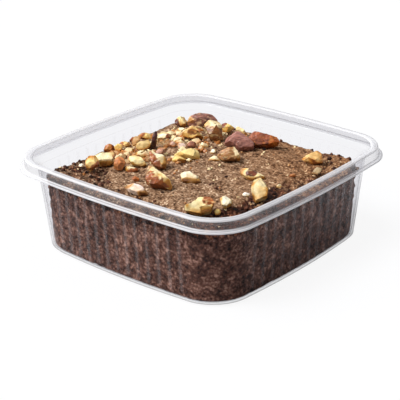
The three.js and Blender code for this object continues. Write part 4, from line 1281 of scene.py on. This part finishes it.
@dataclass
class Walnuts:
    """Chopped walnut pieces that lie on the crust."""

    slab: Brownie
    facing: float = 40.0
    sink: float = 0.9
    voxel: float = 0.24
    outline_points: int = 60
    breaks: int = 6
    break_tilt: tuple[float, float] = (10, 62)
    break_level: tuple[float, float] = (0.6, 0.86)
    chip_mm: float = 2.6
    waver: float = 0.09
    cap_share: float = 0.28
    cap_levels: tuple[float, float] = (-1.05, 1.0)
    pole_levels: tuple[float, float] = (-1.06, 0.98)
    sharp_above: float = 16.0
    raw: str = "#ecd3a0"
    toasts: tuple[tuple[float, str], ...] = (
        (0.05, "#f8e6c0"), (0.35, "#ecd3a0"), (0.68, "#c98e3e"), (1.05, "#7c4a1e"))
    layers: tuple[tuple[float, float], ...] = (
        (-1.0, 0.9), (-0.8, 0.98), (-0.4, 1.0), (0.2, 1.0), (0.65, 0.97), (0.9, 0.92),
        (1.0, 0.84))

    def softened(self, edge: Sequence[tuple[float, float]]) -> np.ndarray:
        """Cut the corners of an outline and drop it onto evenly spaced points.

        Args:
            edge: Corner points, listed clockwise.

        Returns:
            Sixty points, counter-clockwise.
        """
        line = np.array(edge, dtype=float)[::-1]
        for _ in range(2):
            ahead = np.roll(line, -1, axis=0)
            line = np.stack([line * 0.94 + ahead * 0.06, line * 0.06 + ahead * 0.94], 1)
            line = line.reshape(-1, 2)
        return evened(np.concatenate([line, line[:1]]), self.outline_points)[:-1]

    def blank(self, nut: Nut) -> tuple[np.ndarray, list[tuple[int, ...]]]:
        """Loft the piece flat, outline in X and Y and thickness in Z.

        Args:
            nut: The piece.

        Returns:
            Vertices in half sizes and faces.
        """
        outline = self.softened(nut.edge)
        rings = []
        for depth, share in self.layers:
            solid = np.column_stack([outline * share, np.full(len(outline), depth)])
            solid[:, 2] += self.waver * grain(solid * 3.0, 1.3, nut.number)
            rings.append(solid)
        middle = outline.mean(axis=0)
        small = (outline - middle) * self.cap_share + middle
        below, above = (np.column_stack([small, np.full(len(outline), level)])
                        for level in self.cap_levels)
        poles = [np.array([*middle, level]) for level in self.pole_levels]
        return loft([below, *rings, above], *poles)

    def shape(self, nut: Nut, kernel: bpy.types.Material) -> bpy.types.Object:
        """Model one piece and lay it in its place on the crust.

        Args:
            nut: The piece.
            kernel: Material of the pieces.

        Returns:
            The piece, coloured, before it is tied to the frame.
        """
        blank, faces = self.blank(nut)
        half = np.array(nut.size) / 2
        piece = mesh_object(nut.name + "_piece", blank * half, faces, kernel)
        remesh = piece.modifiers.new("Voxels", "REMESH")
        remesh.mode = "VOXEL"
        remesh.voxel_size = self.voxel * MM
        freeze(piece)
        local = mesh_points(piece)
        normals = vertex_rows(piece, "normal")
        seed = nut.number * 13
        knob = min(nut.size) / 8
        broken, shade = self.chiselled(local, seed)
        chip, flake, crease = shards(local, self.chip_mm, seed + 5)
        rise = 0.4 * chip * smoothstep(0.0, 0.3, crease) + 0.1 * grain(local, 0.9, seed + 1)
        rise = knob * rise
        moved = broken + normals * rise[:, None]
        share = local / half
        torn = layered(local, ((0.22, 1.5, seed + 3), (0.1, 0.6, seed + 4)))
        skin = smoothstep(-0.06, 0.06, nut.covered(share[:, 0], share[:, 1]) + torn)
        rind = smoothstep(0.62, 1.0, np.hypot(share[:, 0], share[:, 1]))
        # Painted shade: the flesh is darker towards the lower side of the piece.
        toast = 0.4 * shade + 0.12 * flake + 0.35 * rind - 0.2 * share[:, 1]
        toast = toast + 0.4 * grain(local, 2.6, seed + 6)
        self.tint(piece, nut, local, skin, toast)
        move_points(piece, self.laid(nut, moved))
        piece.data.shade_smooth()
        piece.data.set_sharp_from_angle(angle=math.radians(self.sharp_above))
        return piece

    def chiselled(self, local: np.ndarray, seed: int) -> tuple[np.ndarray, np.ndarray]:
        """Break flat faces off the side that looks up and out.

        Args:
            local: Vertices before they are laid down.
            seed: Seed of the breaks.

        Returns:
            The broken form, and the shade of the face that each vertex is on.
        """
        chance = np.random.default_rng(seed)
        form, shade = local.copy(), np.full(len(local), 0.35)
        for turn in np.linspace(0, 2 * math.pi, self.breaks, endpoint=False):
            turn = turn + chance.uniform(-0.5, 0.5)
            tilt = math.radians(chance.uniform(*self.break_tilt))
            slope = np.array([math.sin(tilt) * math.cos(turn),
                              math.sin(tilt) * math.sin(turn), math.cos(tilt)])
            reach = form @ slope
            level = reach.max() * chance.uniform(*self.break_level)
            over = np.maximum(reach - level, 0.0)
            form = form - over[:, None] * slope
            shade = np.where(over > 0, chance.uniform(0, 1), shade)
        return form, shade

    def tint(self, piece: bpy.types.Object, nut: Nut, local: np.ndarray, skin: np.ndarray,
             toast: np.ndarray) -> None:
        """Store the colour of flesh and skin at each vertex.

        Args:
            piece: Object that gets the attributes.
            nut: Its description.
            local: Vertices before they are laid down.
            skin: Share of skin.
            toast: How far the flesh is toasted, about 0 to 1, with painted shade towards its
                lower side.
        """
        flesh, shell = np.array(linear(nut.flesh)), np.array(linear(nut.shell))
        share = local / (np.array(nut.size) / 2)
        steps = [step for step, _ in self.toasts]
        shades = np.array([linear(code) for _, code in self.toasts]) / np.array(linear(self.raw))
        gain = np.stack([np.interp(toast, steps, shades[:, i]) for i in range(4)], axis=1)
        streak = 0.5 + (0.5 + 0.5 * grain(local * np.array([1, 3, 1]), 1.6, nut.number))
        worn = smoothstep(0.25, 0.6, grain(local * np.array([1, 2.4, 1]), 1.3, nut.number + 60))
        # Painted shade: the skin is lighter towards the top of the piece and darker at its
        # bottom.
        shell_tone = shell * (streak * (1.1 + 0.3 * share[:, 1]))[:, None]
        shell_tone = shell_tone + (0.45 * flesh - 0.3 * shell_tone) * worn[:, None]
        tone = flesh * gain * (1 - skin[:, None]) + shell_tone * skin[:, None]
        tone = np.minimum(tone, 0.95)
        tone[:, 3] = 1.0
        paint(piece, "tone", tone)
        paint(piece, "skin", skin)

    def laid(self, nut: Nut, local: np.ndarray) -> np.ndarray:
        """Lean a piece, turn it to the near corner and rest it on the crust.

        Args:
            nut: The piece.
            local: Its vertices before that.

        Returns:
            Vertices in the model's frame, none below the crust.
        """
        lean, turn = math.radians(nut.lean), math.radians(self.facing)
        x = local[:, 0]
        y = local[:, 1] * math.cos(lean) - local[:, 2] * math.sin(lean)
        z = local[:, 1] * math.sin(lean) + local[:, 2] * math.cos(lean)
        half_high, half_thick = nut.size[1] / 2, nut.size[2] / 2
        ground = float(self.slab.crust_height(np.array([nut.at[0]]), np.array([nut.at[1]]))[0])
        middle = ground + half_high * math.sin(lean) + half_thick * math.cos(lean) - self.sink
        world = np.column_stack([
            x * math.cos(turn) - y * math.sin(turn) + nut.at[0],
            x * math.sin(turn) + y * math.cos(turn) + nut.at[1],
            z + middle])
        crust = self.slab.crust_height(world[:, 0], world[:, 1]) + 0.05
        world[:, 2] = np.maximum(world[:, 2], crust)
        return world

    def build(self, kernel: bpy.types.Material) -> list[bpy.types.Object]:
        """Build every piece, in place of its CAD node where it has one.

        Args:
            kernel: Material of the pieces.

        Returns:
            The finished pieces.
        """
        pieces = []
        for nut in NUTS:
            piece = self.shape(nut, kernel)
            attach(piece, BODY)
            if nut.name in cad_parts:
                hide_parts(nut.name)
            pieces.append(piece)
        return pieces


class Cut(Enum):
    """Make of a crumb: subdivisions, and its least and greatest stretch."""

    ROUND = (2, 0.6, 1.3)
    CHOPPED = (1, 0.45, 1.2)


@dataclass
class Litter:
    """Loose crumbs of one kind, scattered over the crust."""

    name: str
    slot: str
    per_square_cm: float
    smallest: float
    largest: float
    seed: int
    cut: Cut = Cut.ROUND
    knob_scale: float = 1.7
    knob_height: float = 1.5

    def build(self, slab: bpy.types.Object, weight: np.ndarray,
              material: bpy.types.Material) -> bpy.types.Object:
        """Scatter the crumbs with Geometry Nodes.

        Args:
            slab: Finished brownie that the crumbs lie on.
            weight: Share of the full density at each of its vertices.
            material: Material of the crumbs.

        Returns:
            One piece with all the crumbs.
        """
        bed = bpy.data.objects.new(self.name, slab.data.copy())
        bpy.context.scene.collection.objects.link(bed)
        paint(bed, "litter", weight)
        recipe = NodeRecipe("Scatter " + self.name, {
            "Density": self.per_square_cm * 1e4, "Smallest": self.smallest * MM / 2,
            "Largest": self.largest * MM / 2})
        tree = recipe.tree
        density = recipe.math("MULTIPLY", recipe.named("litter"), recipe.value("Density"))
        spots = add(tree, "GeometryNodeDistributePointsOnFaces", {
            "Mesh": recipe.value("Geometry"), "Density": density, "Seed": self.seed})
        detail, flattest, longest = self.cut.value
        ball = add(tree, "GeometryNodeMeshIcoSphere", {"Radius": 1.0, "Subdivisions": detail})
        place = add(tree, "GeometryNodeInputPosition")
        knobs = add(tree, "ShaderNodeTexNoise", {
            "Vector": place.outputs[0], "Scale": self.knob_scale})
        lump = add(tree, "ShaderNodeVectorMath", {
            0: knobs.outputs["Color"], 1: (0.5, 0.5, 0.5)}, operation="SUBTRACT")
        blob = add(tree, "GeometryNodeSetPosition", {
            "Geometry": ball.outputs["Mesh"],
            "Offset": add(tree, "ShaderNodeVectorMath", {
                0: lump.outputs[0], "Scale": self.knob_height},
                operation="SCALE").outputs[0]})
        turn = add(tree, "FunctionNodeRandomValue", {
            0: (0.0, 0.0, 0.0), 1: (FULL_TURN,) * 3, "Seed": self.seed + 1},
            data_type="FLOAT_VECTOR")
        size = add(tree, "FunctionNodeRandomValue", {
            2: recipe.value("Smallest"), 3: recipe.value("Largest"), "Seed": self.seed + 2},
            data_type="FLOAT")
        stretch = add(tree, "FunctionNodeRandomValue", {
            0: (flattest,) * 3, 1: (longest,) * 3, "Seed": self.seed + 3},
            data_type="FLOAT_VECTOR")
        scale = add(tree, "ShaderNodeVectorMath", {
            0: stretch.outputs[0], "Scale": size.outputs[1]}, operation="SCALE")
        sown = add(tree, "GeometryNodeInstanceOnPoints", {
            "Points": spots.outputs["Points"], "Instance": blob.outputs[0],
            "Rotation": turn.outputs[0], "Scale": scale.outputs[0]})
        recipe.finish(sown.outputs[0], material)
        recipe.apply(bed)
        if self.cut is Cut.ROUND:
            bed.data.shade_smooth()
        else:
            bed.data.shade_flat()
        return bed


@dataclass
class Crumbs:
    """Crumbs of cake and nut scattered over the crust, inside the tub's wall."""

    brown: Litter = field(default_factory=lambda: Litter(
        "brown_crumbs", "brownie_crumb", 22.0, 0.6, 2.2, 61))
    nut: Litter = field(default_factory=lambda: Litter(
        "nut_crumbs", "walnut", 6.0, 0.5, 1.6, 71, Cut.CHOPPED))
    bits: Litter = field(default_factory=lambda: Litter(
        "nut_bits", "walnut", 13.0, 1.6, 4.0, 77, Cut.CHOPPED))
    lowest: tuple[float, float] = (28.0, 29.0)
    reach: tuple[float, float] = (49.5, 48.3)
    cream: str = "#e6d3a4"
    toast: str = "#a8672c"

    def build(self, cake: bpy.types.Object, bake: bpy.types.Material,
              kernel: bpy.types.Material) -> list[bpy.types.Object]:
        """Scatter, colour and tie every kind.

        Args:
            cake: Finished brownie with the attribute "crust".
            bake: Material of the cake crumbs.
            kernel: Material of the nut crumbs.

        Returns:
            One piece for each kind.
        """
        points = mesh_points(cake)
        x, y = points[:, 0], points[:, 1]
        upper = smoothstep(*self.lowest, points[:, 2])
        upper *= smoothstep(*self.reach, np.maximum(np.abs(x), np.abs(y)))
        crust = np.empty(len(points))
        cake.data.attributes["crust"].data.foreach_get("value", crust)
        clumps = smoothstep(-0.3, 0.6, grain(np.column_stack([x, y, np.zeros(len(x))]), 9.0, 51))
        nutty = smoothstep(14.0, -22.0, x)
        heap = smoothstep(-8, -16, x) * smoothstep(-26, -16, y)
        heap *= smoothstep(47, 38, np.maximum(-x, y))
        kinds = (
            (self.brown, upper * (0.08 * clumps + 1.5 * (1 - crust)), bake, self.paint_cake),
            (self.nut, upper * (0.12 + nutty * clumps), kernel, self.paint_nut),
            (self.bits, upper * heap, kernel, self.paint_nut))
        beds = []
        for litter, weight, material, colour in kinds:
            bed = litter.build(cake, weight, material)
            colour(bed)
            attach(bed, BODY)
            beds.append(bed)
        return beds

    def paint_cake(self, bed: bpy.types.Object) -> None:
        """Colour the brown crumbs: some dry like the crust, most of them dark."""
        share = 0.5 + 0.5 * grain(mesh_points(bed), 6.0, 81)
        if "crust" in bed.data.attributes:
            bed.data.attributes.remove(bed.data.attributes["crust"])
        paint(bed, "crust", 0.3 + 0.7 * smoothstep(0.5, 0.85, share))

    def paint_nut(self, bed: bpy.types.Object) -> None:
        """Colour the nut crumbs from cream to toasted."""
        share = smoothstep(0.36, 0.62, 0.5 + 0.5 * grain(mesh_points(bed), 3.2, 91))
        cream, toast = np.array(linear(self.cream)), np.array(linear(self.toast))
        paint(bed, "tone", cream * (1 - share[:, None]) + toast * share[:, None])
        paint(bed, "skin", share)


def towards(azimuth: float, elevation: float) -> Vector:
    """Unit vector from the object towards a place around and above it, in degrees."""
    around, above = math.radians(azimuth), math.radians(elevation)
    return Vector((math.sin(around) * math.cos(above), -math.cos(around) * math.cos(above),
                   math.sin(above)))


@dataclass(frozen=True)
class CameraFit:
    """Viewpoint recovered from the rim, walls and base in the picture."""

    azimuth: float = 40.4
    elevation: float = 22.25
    distance: float = 526.8
    target_z: float = 25.45
    focal_pixels: float = 1261.73
    roll: float = 0.67
    right_pixels: float = 2.92
    down_pixels: float = 18.89
    picture_pixels: int = 400
    sensor_mm: float = 36.0

    def build(self) -> bpy.types.Object:
        """Make the camera and let the scene use it.

        Returns:
            The camera object.
        """
        around, back = math.radians(self.azimuth), towards(self.azimuth, self.elevation)
        right = Vector((math.cos(around), math.sin(around), 0.0))
        look = Matrix((right, back.cross(right), -back))
        spin = Matrix.Rotation(math.radians(self.roll), 3, "Z")
        turn = Matrix.Rotation(math.atan(self.right_pixels / self.focal_pixels), 3, "Y")
        dip = Matrix.Rotation(-math.atan(self.down_pixels / self.focal_pixels), 3, "X")
        rows = dip @ turn @ spin @ look
        world = Matrix((rows[0], rows[1], -rows[2])).transposed().to_4x4()
        world.translation = (back * self.distance + Vector((0, 0, self.target_z))) * MM
        lens = bpy.data.cameras.new("Camera")
        lens.sensor_width = self.sensor_mm
        lens.lens = self.focal_pixels * self.sensor_mm / self.picture_pixels
        lens.clip_start = 0.01
        lens.clip_end = 50.0
        camera = bpy.data.objects.new("Camera", lens)
        camera.matrix_world = world
        bpy.context.scene.collection.objects.link(camera)
        bpy.context.scene.camera = camera
        return camera


@dataclass(frozen=True)
class Studio:
    """White paper floor, one broad soft light from the front left, room dimmer on the right."""

    room: str = "#dfe0e3"
    room_strength: float = 0.82
    dim_share: float = 0.36
    dim_reach: tuple[float, float] = (0.3, 0.9)
    key_strength: float = 4.35
    key_softness: float = 32.0
    key_azimuth: float = -34.0
    key_elevation: float = 50.0
    floor_half: float = 6.0

    def build(self) -> None:
        """Make the floor, the lights and the world."""
        scene = bpy.context.scene
        scene.view_settings.view_transform = "Standard"
        scene.view_settings.look = "None"
        world = bpy.data.worlds.new("Pale room")
        world.use_nodes = True
        tree = world.node_tree
        tree.nodes.clear()
        way = add(tree, "ShaderNodeTexCoord").outputs["Generated"]
        right = add(tree, "ShaderNodeSeparateXYZ", {0: way}).outputs["X"]
        strength = ranged(tree, right, self.dim_reach,
                          (self.room_strength, self.room_strength * self.dim_share))
        glow = add(tree, "ShaderNodeBackground", {
            "Color": linear(self.room), "Strength": strength})
        add(tree, "ShaderNodeOutputWorld", {"Surface": glow.outputs[0]})
        scene.world = world
        corner = self.floor_half / MM
        corners = np.array([[-1, -1, 0], [1, -1, 0], [1, 1, 0], [-1, 1, 0]]) * corner
        floor = mesh_object("paper_floor", corners, [(0, 1, 2, 3)], PaperFloor().build())
        sun = bpy.data.lights.new("Key", "SUN")
        sun.energy = self.key_strength
        sun.angle = math.radians(self.key_softness)
        key = bpy.data.objects.new("Key", sun)
        source = towards(self.key_azimuth, self.key_elevation)
        key.rotation_euler = source.to_track_quat("Z", "Y").to_euler()
        key.location = source * 2
        scene.collection.objects.link(key)


def main() -> None:
    """Build the camera and studio, then the tub, the brownie, its nuts and its crumbs."""
    logging.basicConfig(level=logging.INFO, format="%(name)s: %(message)s")
    CameraFit().build()
    Studio().build()
    plastic = ClearPlastic().build()
    bake = BrownieBake().build()
    kernel = WalnutKernel().build()

    tub = Tub()
    shell = tub.build(plastic)
    slab = Brownie(tub)
    cake = slab.build(bake)
    nuts = Walnuts(slab).build(kernel)
    for piece in (shell, cake, *nuts, *Crumbs().build(cake, bake, kernel)):
        log.info("%s: %d faces", piece.name, len(piece.data.polygons))


if __name__ == "__main__":
    main()
